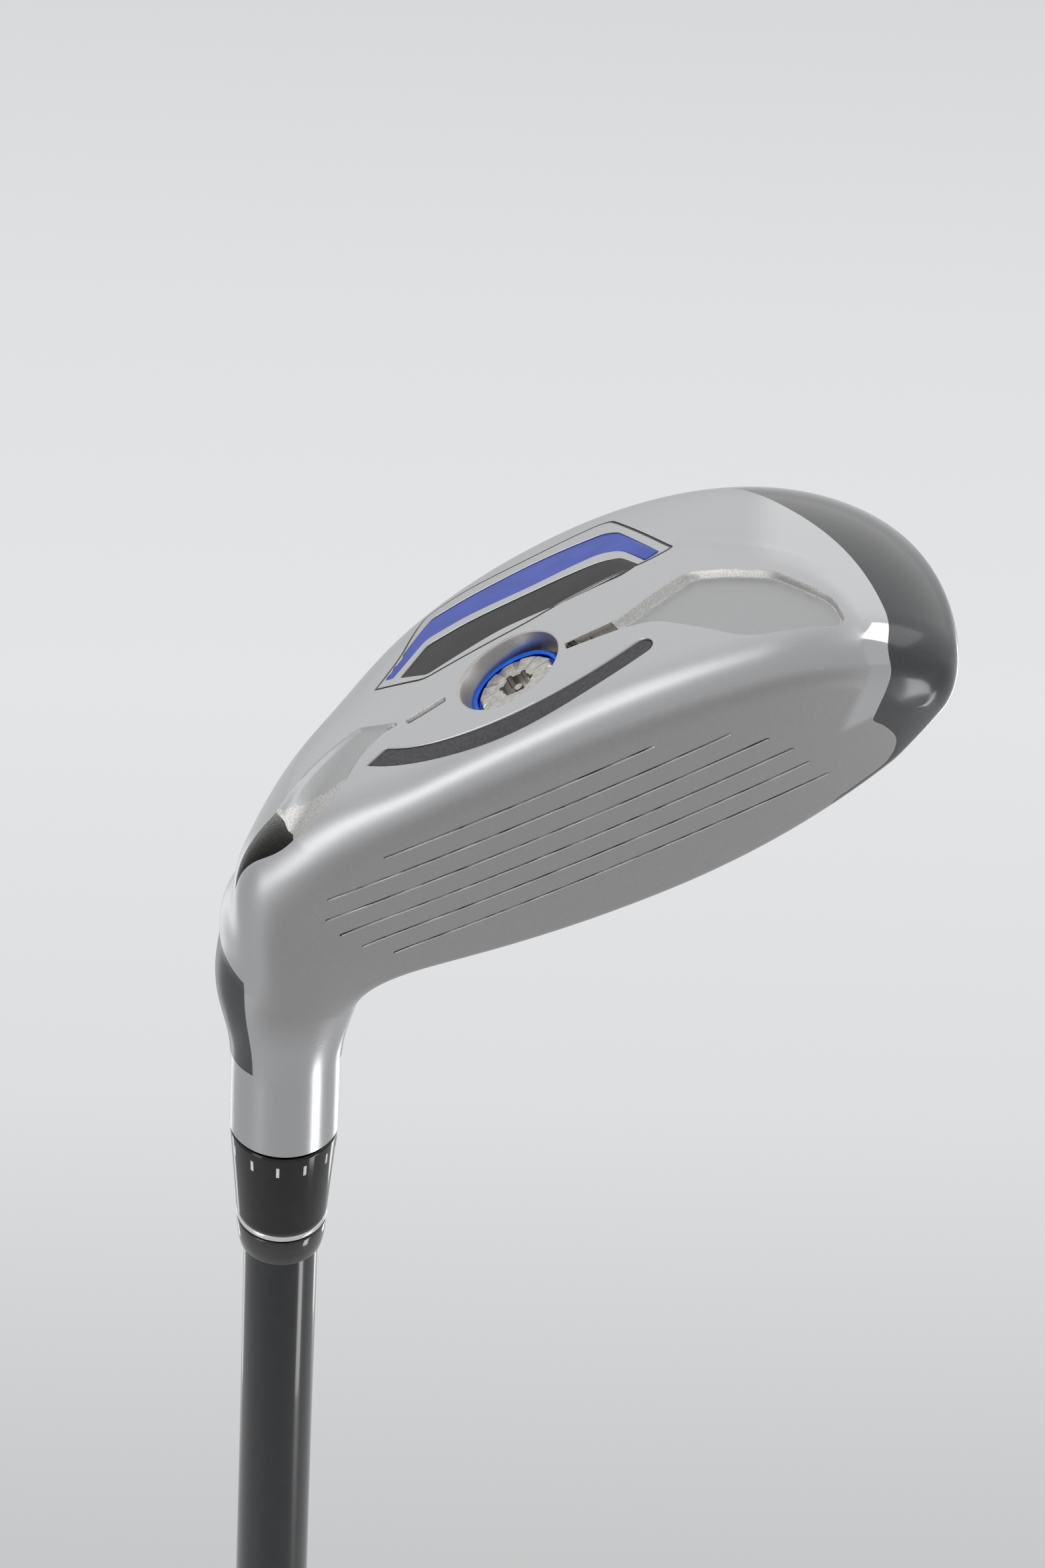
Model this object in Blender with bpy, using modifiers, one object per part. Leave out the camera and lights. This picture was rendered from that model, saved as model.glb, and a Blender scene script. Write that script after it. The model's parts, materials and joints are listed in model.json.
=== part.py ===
# Hybrid golf club, grip end down and head up, in metres.
# Origin: centre of the butt face. +Z runs up the shaft to the head, the face looks to -Y, the toe to +X.
# The head is written in its address frame: x to the toe, y to the target, z up from the ground,
# with its origin where the hosel axis meets the ground. That frame hangs from the hosel axis.

import math

import bmesh
import bpy
import numpy as np
from mathutils import Matrix, Vector

# Club
CLUB_LENGTH = 1.035
LIE = math.radians(59)
LOFT = math.radians(19)
SLEEVE_CANT = math.radians(1.5)
GAP = 0.0003

# Shaft and grip
TIP_RADIUS = 0.0047
BUTT_RADIUS = 0.0076
SHAFT_WALL = 0.0013
TIP_STRAIGHT = 0.075
SHAFT_START = 0.005
GRIP_LENGTH = 0.268
GRIP_BUTT_RADIUS = 0.0135
GRIP_MOUTH_RADIUS = 0.0089
GRIP_TAPER_POWER = 0.75
GRIP_BEAD = 0.006
GRIP_BEAD_PROUD = 0.0006
GRIP_LIP_PROUD = 0.0002
TAPE_THICKNESS = 0.0004
TAPE_INSET = 0.004
CAP_HEIGHT = 0.0038
CAP_RIM = 0.0012
CAP_BULGE = 0.0003
PLUG_DEPTH = 0.008
PLUG_INSET = 0.0005

# Hosel, sleeve and ferrule: distances along the hosel axis are heights above the ground point
HOSEL_REACH = 0.060
HOSEL_RADIUS = 0.0068
HOSEL_FLARE = 0.0009
FLARE_FROM = 0.020
FLARE_TO = 0.050
HEEL_BALL_AT = 0.0265
BORE_RADIUS = 0.0060
BORE_FLOOR = 0.0290
PIVOT_DEPTH = 0.010
TIP_DEPTH = 0.019
SLEEVE_RADIUS = BORE_RADIUS - GAP
SLEEVE_FOOT = 0.0305
SLEEVE_SHOULDER = 0.0067
SLEEVE_TOP_RADIUS = 0.00575
SLEEVE_VISIBLE = 0.0150
SLEEVE_TO_HOSEL = 0.0005
SPLINE_COUNT = 12
SPLINE_DEPTH = 0.0006
SPLINE_LENGTH = 0.006
SPLINE_FOOT_SHARE = 0.25
SPLINE_TOP_SHARE = 0.17
SPLINE_SINK = 0.0002
SPLINE_END = 0.0004
TRIM_HEIGHT = 0.0008
TRIM_INSET = 0.0001
FERRULE_LENGTH = 0.0044
FERRULE_LIP = 0.0006
FERRULE_POWER = 0.6

# Hosel screw, from the heel port inwards
PORT_RADIUS = 0.0052
SCREW_SEAT = 0.0245
SCREW_RADIUS = 0.0024
SCREW_HEAD_RADIUS = 0.0043
SCREW_HEAD_HEIGHT = 0.0043
SCREW_TIP = 0.0390
SCREW_CHAMFER = 0.0005
SCREW_CLEARANCE = 0.00035
SCREW_HOLE_CLEARANCE = 0.0005
THREAD_TOP = 0.0430
WASHER_THICKNESS = 0.0010
WASHER_RADIUS = 0.0047
RETAINER_THICKNESS = 0.0009
RETAINER_RADIUS = 0.0042
DRIVE_RADIUS = 0.0021
DRIVE_DEPTH = 0.0026
DRIVE_SIDES = 6

# Head form
FACE_AT_GROUND = 0.01855
FACE_MIDDLE = 0.026
BULGE_RADIUS = 0.600
ROLL_RADIUS = 0.420
ROLL_MIDDLE = 0.018
SOLE_LOW_X = 0.031
SOLE_LOW_Y = 0.0092
SOLE_RADIUS_TOE = 0.104
SOLE_RADIUS_HEEL = 0.205
SOLE_RADIUS_BACK = 0.099
SOLE_RADIUS_FRONT = 0.058
CROWN_TOP = 0.0372
CROWN_MIDDLE = 0.031
CROWN_RADIUS_TOE = 0.078
CROWN_RADIUS_HEEL = 0.135
CROWN_RADIUS_BACK = 0.067
CROWN_FRONT = 0.009
CROWN_SLOPE = 0.9
TOE_CENTRE = (0.0352, -0.0017)
TOE_RADIUS = 0.0399
HEEL_CENTRE = (-0.0054, 0.0075)
HEEL_RADIUS = 0.0103
SKIRT_ROUND = 0.0135
CROWN_ROUND = 0.0046
LEADING_ROUND = 0.007
TOPLINE_ROUND = 0.0015
LEADING_TOP = 0.008
TOPLINE_START = 0.026
NECK_TOP_AT = 0.035
NECK_TOP_RADIUS = 0.0067
NECK_FOOT = (0.0043, 0.0038, 0.0142)
NECK_FOOT_RADIUS = 0.0119
NECK_BLEND = 0.010
HOSEL_BLEND = 0.011
NECK_STEP = 0.00012
NECK_OVERLAP = 0.004
HEAD_CENTRE = np.array((0.027, -0.006, 0.016))
HEAD_REACH = 0.075
ROUND_POWER = 2.3

# Head walls and joints between its plates
WALL = 0.0015
FACE_WALL = 0.0023
SOLE_THICKNESS = 0.0040
CAVITY_HEEL = 0.0105
CROWN_LINE_LOW = 0.0076
CROWN_LINE_BOW = 0.120
CROWN_LINE_MIDDLE = -0.012
CROWN_LINE_HEEL_RISE = 0.12
CROWN_LINE_HEEL = 0.020
CROWN_FRONT_INSET = 0.0030
CROWN_HEEL = 0.0125
FACE_PLATE_DEPTH = 0.0030
SCORE_RADIUS = 0.00042

# Sole features, as distances over the address frame's x and y
SLOT_CENTRE = (0.0274, -0.0210)
SLOT_RADIUS = 0.0332
SLOT_HALF_WIDTH = 0.0014
SLOT_HALF_ANGLE = math.radians(33)
FILLER_RECESS = 0.0002
FILLER_THICKNESS = 0.0036
POCKET_DEPTH = 0.0018
SCOOP_RADIUS = 0.0049
SCOOP_REACH = 0.0058
SCOOP_SHIFT = 0.0005
SCOOP_ROOF = 0.0195
BADGE_DEPTH = 0.0010
BADGE_RECESS = 0.0003
WEIGHT_CENTRE = (0.0278, 0.0021)
WEIGHT_TILT = math.radians(4)
WEIGHT_PORT_RADIUS = 0.0067
WEIGHT_PORT_DEPTH = 0.0036
WEIGHT_BOSS_RADIUS = 0.0080
WEIGHT_BOSS_DEPTH = 0.0150
WEIGHT_HOLE_RADIUS = 0.0042
WEIGHT_HOLE_DEPTH = 0.0132
COLLAR_RADIUS = 0.0060
COLLAR_LIP_RADIUS = 0.0042
COLLAR_CUP_RADIUS = 0.0050
CORE_RADIUS = 0.0047
CORE_SHANK_RADIUS = 0.0039
CORE_SHANK_END = 0.0120
FLUTE_COUNT = 10
FLUTE_RADIUS = 0.0008
FLUTE_DEPTH = 0.0006
COLLAR_LIP = 0.0007
COLLAR_HEIGHT = 0.0021
COLLAR_CHAMFER = 0.0003
CORE_PROUD = 0.0002
CORE_DRIVE_DEPTH = 0.0016
CORE_DRIVE_WAVE = 0.12
CORE_DRIVE_LOBES = 6
WEIGHT_BOSS_TOP = 0.002

TOE_POCKET = (
    (0.0352, 0.0022), (0.0416, 0.0009), (0.0498, -0.0054), (0.0594, -0.0017), (0.0645, 0.0034),
    (0.0662, 0.0078), (0.0640, 0.0101), (0.0565, 0.0106), (0.0470, 0.0034), (0.0432, 0.0027),
    (0.0354, 0.0032),
)
HEEL_POCKET = (
    (0.0196, 0.0017), (0.0141, 0.0029), (0.0082, 0.0028), (-0.0020, 0.0050), (-0.0060, 0.0080),
    (-0.0040, 0.0118), (0.0036, 0.0102), (0.0085, 0.0062), (0.0147, 0.0042), (0.0196, 0.0029),
)
BADGE_BAND = (
    (0.0103, -0.0087), (0.0154, -0.0205), (0.0385, -0.0235), (0.0405, -0.0219), (0.0460, -0.0126),
    (0.0445, -0.0111), (0.0408, -0.0165), (0.0160, -0.0157), (0.0117, -0.0080),
)
BADGE_PANEL = (
    (0.0132, -0.0074), (0.0165, -0.0136), (0.0405, -0.0146), (0.0433, -0.0106), (0.0405, -0.0086),
    (0.0175, -0.0056),
)
# Corners of the face plate as (x, height up the face)
FACE_OUTLINE = (
    (0.012, 0.0062), (0.043, 0.0062), (0.056, 0.0105), (0.0625, 0.019), (0.0615, 0.0285),
    (0.052, 0.0325), (0.030, 0.0342), (0.008, 0.0330), (-0.006, 0.0300), (-0.0095, 0.0220),
    (-0.006, 0.0125), (0.002, 0.0075),
)
# Score lines as (height up the face, heel end, toe end)
SCORE_LINES = (
    (0.0094, 0.0071, 0.0419),
    (0.0133, -0.0024, 0.0498),
    (0.0172, -0.0047, 0.0528),
    (0.0211, -0.0049, 0.0542),
    (0.0250, -0.0041, 0.0546),
    (0.0289, -0.0018, 0.0553),
)

# Cutters reach past what they cut, joined shapes reach into each other, and searches reach past the head
OVERCUT = 0.002
SURFACE_OVERCUT = 0.006
BELOW_SOLE = -0.010
ABOVE_SOLE = 0.030
SLOT_TOP = 0.012
CROWN_FIELD_LOW = (-0.020, -0.060)
CROWN_FIELD_SIZE = (0.110, 0.080)
CROWN_FIELD_TOE = 0.090
CROWN_FIELD_ROOF = 0.060
LAYER_CENTRE = (0.026, -0.008)
LAYER_HALF_SIZE = (0.043, 0.021)
SOLE_SEARCH_START = -0.004
SOLE_SEARCH_REACH = 0.024
HOSEL_SEARCH_REACH = 0.016

# Steps of round and curved shapes
ROUND_STEPS = 32
SMALL_STEPS = 20
SMOOTH_STEPS = 4
ARC_STEPS = 12
LOBE_STEPS = 36
FLUTE_STEPS = 12
GRIP_STEPS = 10
FERRULE_STEPS = 5
SHAFT_STATIONS = (0.2, 0.45, 0.7)
SCORE_STATIONS = 9
HOSEL_RINGS = 7
SOLE_SEARCH_STEPS = 60
LAYER_GRID = (26, 16)
CROWN_GRID = (12, 14)
HEAD_SUBDIVISIONS = 6
HEAD_KEPT = 0.15
CAVITY_SUBDIVISIONS = 5
CAVITY_KEPT = 0.16

COS_LOFT = math.cos(LOFT)
SIN_LOFT = math.sin(LOFT)
HOSEL_UP = np.array((-math.cos(LIE), 0.0, math.sin(LIE)))
HOSEL_SIDE = np.array((math.sin(LIE), 0.0, math.cos(LIE)))
TINY = 1e-5
SHARP_ANGLE = math.radians(35)
AXES_SIZE = 0.01
SHARPEST_CORNER = 0.4


# Collections, materials and object helpers

for old in list(bpy.data.objects):
    bpy.data.objects.remove(old, do_unlink=True)

parts = bpy.data.collections.new("hybrid_golf_club")
cutters = bpy.data.collections.new("cutters")
bpy.context.scene.collection.children.link(parts)
bpy.context.scene.collection.children.link(cutters)


def finish(name, colour, roughness, metallic):
    material = bpy.data.materials.new(name)
    material.use_nodes = True
    shader = material.node_tree.nodes["Principled BSDF"]
    shader.inputs["Base Color"].default_value = (*colour, 1.0)
    shader.inputs["Roughness"].default_value = roughness
    shader.inputs["Metallic"].default_value = metallic
    return material


def empty(name, parent, matrix):
    item = bpy.data.objects.new(name, None)
    item.empty_display_size = AXES_SIZE
    parts.objects.link(item)
    item.parent = parent
    item.matrix_local = matrix
    return item


def part(name, mesh, material, parent=None):
    item = bpy.data.objects.new(name, mesh)
    mesh.materials.append(material)
    mesh.shade_smooth()
    mesh.set_sharp_from_angle(angle=SHARP_ANGLE)
    parts.objects.link(item)
    item.parent = parent
    return item


def cutter(name, mesh, parent=None):
    item = bpy.data.objects.new(name, mesh)
    cutters.objects.link(item)
    item.parent = parent
    item.hide_render = True
    item.display_type = "WIRE"
    return item


def combine(target, other, operation):
    modifier = target.modifiers.new(f"{operation.lower()}_{other.name}", "BOOLEAN")
    modifier.object = other
    modifier.operation = operation
    modifier.solver = "EXACT"


def cut(target, *others):
    for other in others:
        combine(target, other, "DIFFERENCE")


def as_mesh(name, work):
    bmesh.ops.recalc_face_normals(work, faces=work.faces)
    mesh = bpy.data.meshes.new(name)
    work.to_mesh(mesh)
    work.free()
    return mesh


def rod(name, radius, low, high, steps=SMALL_STEPS, top_radius=None):
    work = bmesh.new()
    bmesh.ops.create_cone(
        work, cap_ends=True, segments=steps, radius1=radius,
        radius2=radius if top_radius is None else top_radius, depth=high - low,
    )
    bmesh.ops.translate(work, verts=work.verts, vec=(0, 0, (low + high) / 2))
    return as_mesh(name, work)


def thin_out(item, kept):
    # Fewer faces, left where the form bends most.
    fewer = item.modifiers.new("fewer_faces", "DECIMATE")
    fewer.ratio = kept
    fewer.use_collapse_triangulate = True


def turn(item, steps):
    screw = item.modifiers.new("turn", "SCREW")
    screw.steps = steps
    screw.render_steps = steps
    screw.use_merge_vertices = True
    screw.merge_threshold = TINY
    screw.use_smooth_shade = True


def profile(name, points, closed=True):
    # The points run down the outer side, and back up the bore where there is one.
    work = bmesh.new()
    verts = [work.verts.new((radius, 0, height)) for radius, height in points]
    for first, second in zip(verts, verts[1:]):
        work.edges.new((first, second))
    if closed:
        work.edges.new((verts[-1], verts[0]))
    mesh = bpy.data.meshes.new(name)
    work.to_mesh(mesh)
    work.free()
    return mesh


def mesh_of_curve(name, curve, lift=0.0):
    # The curve as a closed mesh, its caps welded on, so that it can be cut and can cut.
    drawn = bpy.data.objects.new(name, curve)
    cutters.objects.link(drawn)
    bpy.context.view_layer.update()
    mesh = bpy.data.meshes.new_from_object(drawn.evaluated_get(bpy.context.evaluated_depsgraph_get()))
    bpy.data.objects.remove(drawn)
    bpy.data.curves.remove(curve)
    work = bmesh.new()
    work.from_mesh(mesh)
    bpy.data.meshes.remove(mesh)
    bmesh.ops.remove_doubles(work, verts=work.verts, dist=TINY)
    bmesh.ops.translate(work, verts=work.verts, vec=(0, 0, lift))
    return as_mesh(name, work)


def prism(name, outline, low, high, parent=None, smooth=False):
    # A flat outline as a filled 2D curve, extruded. A smooth outline runs through its points as one curve.
    curve = bpy.data.curves.new(name, "CURVE")
    curve.dimensions = "2D"
    curve.fill_mode = "BOTH"
    curve.extrude = (high - low) / 2
    curve.resolution_u = SMOOTH_STEPS
    spline = curve.splines.new("BEZIER" if smooth else "POLY")
    points = spline.bezier_points if smooth else spline.points
    points.add(len(outline) - 1)
    for point, (x, y) in zip(points, outline):
        point.co = (x, y, 0) if smooth else (x, y, 0, 1)
        if smooth:
            point.handle_left_type = "AUTO"
            point.handle_right_type = "AUTO"
    spline.use_cyclic_u = True
    return cutter(name, mesh_of_curve(name, curve, (low + high) / 2), parent)


def inset(outline, distance):
    # Each corner moves inwards by the distance from both of its edges.
    points = [Vector(point) for point in outline]
    area = sum(a.x * b.y - b.x * a.y for a, b in zip(points, points[1:] + points[:1]))
    side = 1 if area > 0 else -1
    moved = []
    for before, here, after in zip(points[-1:] + points[:-1], points, points[1:] + points[:1]):
        first = (here - before).normalized()
        second = (after - here).normalized()
        inward = (first.orthogonal() + second.orthogonal()).normalized() * side
        spread = max(SHARPEST_CORNER, abs(inward.dot(second.orthogonal())))
        moved.append(tuple(here + inward * (distance / spread)))
    return moved


# Head form: a value below zero is inside the head, and lengths are in metres

def round_max(a, b, radius):
    u = np.maximum(a + radius, 0)
    v = np.maximum(b + radius, 0)
    return np.minimum(-radius, np.maximum(a, b)) + (u**ROUND_POWER + v**ROUND_POWER) ** (1 / ROUND_POWER)


def blend_min(a, b, reach):
    near = np.maximum(reach - np.abs(a - b), 0) / reach
    return np.minimum(a, b) - near**3 * reach / 6


def smooth_step(value, low, high):
    t = np.clip((value - low) / (high - low), 0, 1)
    return t * t * (3 - 2 * t)


def two_radius(value, middle, low_radius, high_radius):
    return (value - middle) ** 2 / (2 * np.where(value > middle, high_radius, low_radius))


def sole_camber(x, y):
    along = two_radius(x, SOLE_LOW_X, SOLE_RADIUS_HEEL, SOLE_RADIUS_TOE)
    return along + two_radius(y, SOLE_LOW_Y, SOLE_RADIUS_BACK, SOLE_RADIUS_FRONT)


def plan_outline(x, y):
    # A wide toe circle and a small heel circle, joined by their common tangents.
    px, py = x - TOE_CENTRE[0], y - TOE_CENTRE[1]
    bx, by = HEEL_CENTRE[0] - TOE_CENTRE[0], HEEL_CENTRE[1] - TOE_CENTRE[1]
    span = bx * bx + by * by
    across = np.abs(px * by - py * bx) / span
    along = (px * bx + py * by) / span
    taper = TOE_RADIUS - HEEL_RADIUS
    side = math.sqrt(span - taper * taper)
    turn_side = side * along - taper * across
    squared = across**2 + along**2
    toe = np.sqrt(span * squared) - TOE_RADIUS
    heel = np.sqrt(np.maximum(span * (squared + 1 - 2 * along), 0)) - HEEL_RADIUS
    flank = side * across + taper * along - TOE_RADIUS
    return np.where(turn_side < 0, toe, np.where(turn_side > side, heel, flank))


def face_distance(p):
    x, y, z = p[..., 0], p[..., 1], p[..., 2]
    flat = (y - FACE_AT_GROUND) * COS_LOFT + z * SIN_LOFT
    height = z * COS_LOFT - (y - FACE_AT_GROUND) * SIN_LOFT
    bulge = (x - FACE_MIDDLE) ** 2 / (2 * BULGE_RADIUS)
    return flat + bulge + (height - ROLL_MIDDLE) ** 2 / (2 * ROLL_RADIUS)


def crown_distance(p):
    x, y, z = p[..., 0], p[..., 1], p[..., 2]
    fall = np.minimum(y - CROWN_FRONT, 0) ** 2 / (2 * CROWN_RADIUS_BACK)
    top = CROWN_TOP - two_radius(x, CROWN_MIDDLE, CROWN_RADIUS_HEEL, CROWN_RADIUS_TOE) - fall
    return (z - top) * CROWN_SLOPE


def neck_distance(p):
    # A cone with round ends from the hosel down into the heel.
    start = HOSEL_UP * NECK_TOP_AT
    axis = np.array(NECK_FOOT) - start
    length = np.linalg.norm(axis)
    axis = axis / length
    from_start = p - start
    along = from_start @ axis
    away = np.sqrt(np.maximum((from_start**2).sum(-1) - along**2, 0))
    lean = (NECK_TOP_RADIUS - NECK_FOOT_RADIUS) / length
    grip = math.sqrt(1 - lean * lean)
    at = np.clip((along + away * lean / grip) / length, 0, 1)
    radius = NECK_TOP_RADIUS + (NECK_FOOT_RADIUS - NECK_TOP_RADIUS) * at
    return np.sqrt((along - at * length) ** 2 + away**2) - radius


def hosel_distance(p):
    along = p @ HOSEL_UP
    away_squared = np.maximum((p**2).sum(-1) - along**2, 0)
    below = np.maximum(HEEL_BALL_AT - along, 0)
    flare = HOSEL_FLARE * (1 - smooth_step(along, FLARE_FROM, FLARE_TO))
    return np.sqrt(away_squared + below**2) - HOSEL_RADIUS - flare


def head_without_hosel(p):
    x, y, z = p[..., 0], p[..., 1], p[..., 2]
    skirt = round_max(sole_camber(x, y) - z, plan_outline(x, y), SKIRT_ROUND)
    upper = round_max(skirt, crown_distance(p), CROWN_ROUND)
    with_neck = blend_min(upper, neck_distance(p), NECK_BLEND)
    edge = LEADING_ROUND + (TOPLINE_ROUND - LEADING_ROUND) * smooth_step(z, LEADING_TOP, TOPLINE_START)
    return round_max(with_neck, face_distance(p), edge)


def head_form(p):
    whole = blend_min(head_without_hosel(p), hosel_distance(p), HOSEL_BLEND)
    return np.maximum(whole, p @ HOSEL_UP - HOSEL_REACH)


def outer_form(p):
    # The hosel tube itself is joined on later, so this stops a little way up the neck.
    return np.maximum(head_form(p), p @ HOSEL_UP - (NECK_TOP_AT + NECK_OVERLAP))


def cavity_form(p):
    x, y, z = p[..., 0], p[..., 1], p[..., 2]
    floor = sole_camber(x, y) + SOLE_THICKNESS - z
    heel = CAVITY_HEEL - (x * math.sin(LIE) + z * math.cos(LIE))
    shell = np.maximum(head_form(p) + WALL, face_distance(p) + FACE_WALL)
    neck = p @ HOSEL_UP - NECK_TOP_AT
    return np.maximum(np.maximum(shell, floor), np.maximum(heel, neck))


def crossing(form, start, direction, reach, samples=160, halvings=24):
    # Distance along each ray at which the form first turns positive.
    steps = np.linspace(0, reach, samples)
    values = form(start[:, None, :] + steps[None, :, None] * direction[:, None, :])
    first = np.argmax(values > 0, axis=1)
    first = np.where(values.max(axis=1) > 0, first, samples - 1)
    low, high = steps[np.maximum(first - 1, 0)], steps[first]
    for _ in range(halvings):
        middle = (low + high) / 2
        outside = form(start + middle[:, None] * direction) > 0
        high = np.where(outside, middle, high)
        low = np.where(outside, low, middle)
    return (low + high) / 2


def blown_form(name, form, subdivisions):
    # A fine sphere whose points move straight out to the form.
    work = bmesh.new()
    bmesh.ops.create_icosphere(work, subdivisions=subdivisions, radius=1)
    direction = np.array([vert.co[:] for vert in work.verts], np.float64)
    direction /= np.linalg.norm(direction, axis=1, keepdims=True)
    start = np.broadcast_to(HEAD_CENTRE, direction.shape)
    distance = crossing(form, start, direction, HEAD_REACH)
    for vert, place in zip(work.verts, start + direction * distance[:, None]):
        vert.co = place
    return as_mesh(name, work)


def hosel_tube(name):
    # A tube spun about the hosel axis, whose points move straight out to the form.
    work = bmesh.new()
    heights = np.linspace(NECK_TOP_AT, HOSEL_REACH, HOSEL_RINGS)
    verts = [work.verts.new(HOSEL_UP * height + HOSEL_SIDE * HOSEL_RADIUS) for height in heights]
    edges = [work.edges.new(pair) for pair in zip(verts, verts[1:])]
    bmesh.ops.spin(
        work, geom=verts + edges, cent=(0, 0, 0), axis=HOSEL_UP,
        angle=2 * math.pi, steps=ROUND_STEPS, use_merge=True,
    )
    place = np.array([vert.co[:] for vert in work.verts], np.float64)
    start = (place @ HOSEL_UP)[:, None] * HOSEL_UP
    direction = place - start
    direction /= np.linalg.norm(direction, axis=1, keepdims=True)
    inside = start - HOSEL_UP * TINY
    distance = crossing(head_form, inside, direction, HOSEL_SEARCH_REACH) - NECK_STEP
    for vert, moved in zip(work.verts, start + direction * distance[:, None]):
        vert.co = moved
    bmesh.ops.holes_fill(work, edges=work.edges)
    return as_mesh(name, work)


def outside_head(p):
    return -head_without_hosel(p)


def sole_height(x, y):
    # Height of the sole over each point, found upwards from below the ground.
    start = np.stack([x, y, np.full_like(x, SOLE_SEARCH_START)], axis=-1)
    up = np.broadcast_to(np.array((0.0, 0.0, 1.0)), start.shape)
    rise = crossing(outside_head, start, up, SOLE_SEARCH_REACH, samples=SOLE_SEARCH_STEPS)
    return start[..., 2] + rise


def sole_layer(name, outside, inside):
    # A slab that follows the sole, from outside it to inside it.
    work = bmesh.new()
    bmesh.ops.create_grid(work, x_segments=LAYER_GRID[0], y_segments=LAYER_GRID[1], size=1)
    for vert in work.verts:
        vert.co.x = LAYER_CENTRE[0] + vert.co.x * LAYER_HALF_SIZE[0]
        vert.co.y = LAYER_CENTRE[1] + vert.co.y * LAYER_HALF_SIZE[1]
    top = bmesh.ops.extrude_face_region(work, geom=list(work.faces))
    raised = {item for item in top["geom"] if isinstance(item, bmesh.types.BMVert)}
    places = np.array([vert.co[:] for vert in work.verts], np.float64)
    heights = sole_height(places[:, 0], places[:, 1])
    for vert, height in zip(work.verts, heights):
        vert.co.z = height + (inside if vert in raised else -outside)
    return as_mesh(name, work)


# Frames

pivot_height = CLUB_LENGTH - HOSEL_REACH + PIVOT_DEPTH
hosel_axis = empty(
    "hosel_axis", None,
    Matrix.Translation((0, 0, pivot_height)) @ Matrix.Rotation(-SLEEVE_CANT, 4, "X"),
)
ground_point = HOSEL_REACH - PIVOT_DEPTH
address_axes = Matrix((
    (math.sin(LIE), 0, math.cos(LIE), 0),
    (0, -1, 0, 0),
    (math.cos(LIE), 0, -math.sin(LIE), ground_point),
    (0, 0, 0, 1),
))
address = empty("head_address", hosel_axis, address_axes)
weight_height = float(sole_height(np.array([WEIGHT_CENTRE[0]]), np.array([WEIGHT_CENTRE[1]]))[0])
weight_axis = empty(
    "weight_axis", address,
    Matrix.Translation((*WEIGHT_CENTRE, weight_height)) @ Matrix.Rotation(math.pi - WEIGHT_TILT, 4, "X"),
)


def on_axis(height):
    # Height above the ground point, as a place on the hosel axis frame's z.
    return ground_point - height


# Finishes

brushed_steel = finish("brushed_steel", (0.46, 0.45, 0.43), 0.34, 1.0)
blasted_steel = finish("blasted_steel", (0.62, 0.63, 0.64), 0.42, 1.0)
gunmetal_paint = finish("gunmetal_paint", (0.05, 0.052, 0.055), 0.22, 0.6)
charcoal_polymer = finish("charcoal_polymer", (0.05, 0.05, 0.052), 0.7, 0.0)
blue_anodised = finish("blue_anodised", (0.03, 0.12, 0.55), 0.25, 1.0)
blue_enamel = finish("blue_enamel", (0.05, 0.12, 0.55), 0.35, 0.0)
black_enamel = finish("black_enamel", (0.02, 0.02, 0.022), 0.35, 0.0)
black_anodised = finish("black_anodised", (0.012, 0.012, 0.013), 0.2, 0.3)
pale_ring = finish("pale_ring", (0.75, 0.76, 0.77), 0.3, 0.8)
black_gloss = finish("black_gloss", (0.012, 0.012, 0.012), 0.12, 0.0)
carbon_gloss = finish("carbon_gloss", (0.03, 0.031, 0.034), 0.15, 0.0)
plain_steel = finish("plain_steel", (0.55, 0.54, 0.52), 0.3, 1.0)
nylon = finish("nylon", (0.1, 0.1, 0.1), 0.6, 0.0)
grip_rubber = finish("grip_rubber", (0.025, 0.025, 0.026), 0.75, 0.0)
cap_rubber = finish("cap_rubber", (0.03, 0.03, 0.031), 0.6, 0.0)
tape_paper = finish("tape_paper", (0.72, 0.62, 0.42), 0.8, 0.0)


# Shaft, grip and what is bonded to them

tip_end = pivot_height - PIVOT_DEPTH + TIP_DEPTH
taper_end = tip_end - TIP_STRAIGHT
hosel_end = pivot_height - PIVOT_DEPTH


def shaft_radius(height):
    at = min(max((height - SHAFT_START) / (taper_end - SHAFT_START), 0), 1)
    return BUTT_RADIUS + (TIP_RADIUS - BUTT_RADIUS) * at


def tube(name, material, outer, inner, heights, steps):
    # A turned tube from outer and inner radius functions, closed at both ends and open through.
    down = [(outer(height), height) for height in reversed(heights)]
    back = [(inner(height), height) for height in heights]
    item = part(name, profile(name, down + back), material)
    turn(item, steps)
    return item


def shaft_bore_radius(height):
    return shaft_radius(height) - SHAFT_WALL


def tape_inner(height):
    return shaft_radius(height) + GAP


def tape_outer(height):
    return tape_inner(height) + TAPE_THICKNESS


def grip_inner(height):
    return tape_outer(height) + GAP


def build_shaft():
    stations = [SHAFT_START + station for station in SHAFT_STATIONS]
    heights = [SHAFT_START, *stations, taper_end, tip_end]
    tube("shaft", carbon_gloss, shaft_radius, shaft_bore_radius, heights, ROUND_STEPS)
    plug_radius = TIP_RADIUS - SHAFT_WALL - GAP
    plug = rod("shaft_tip_plug", plug_radius, tip_end - PLUG_DEPTH, tip_end - PLUG_INSET)
    part("shaft_tip_plug", plug, nylon)


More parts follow.
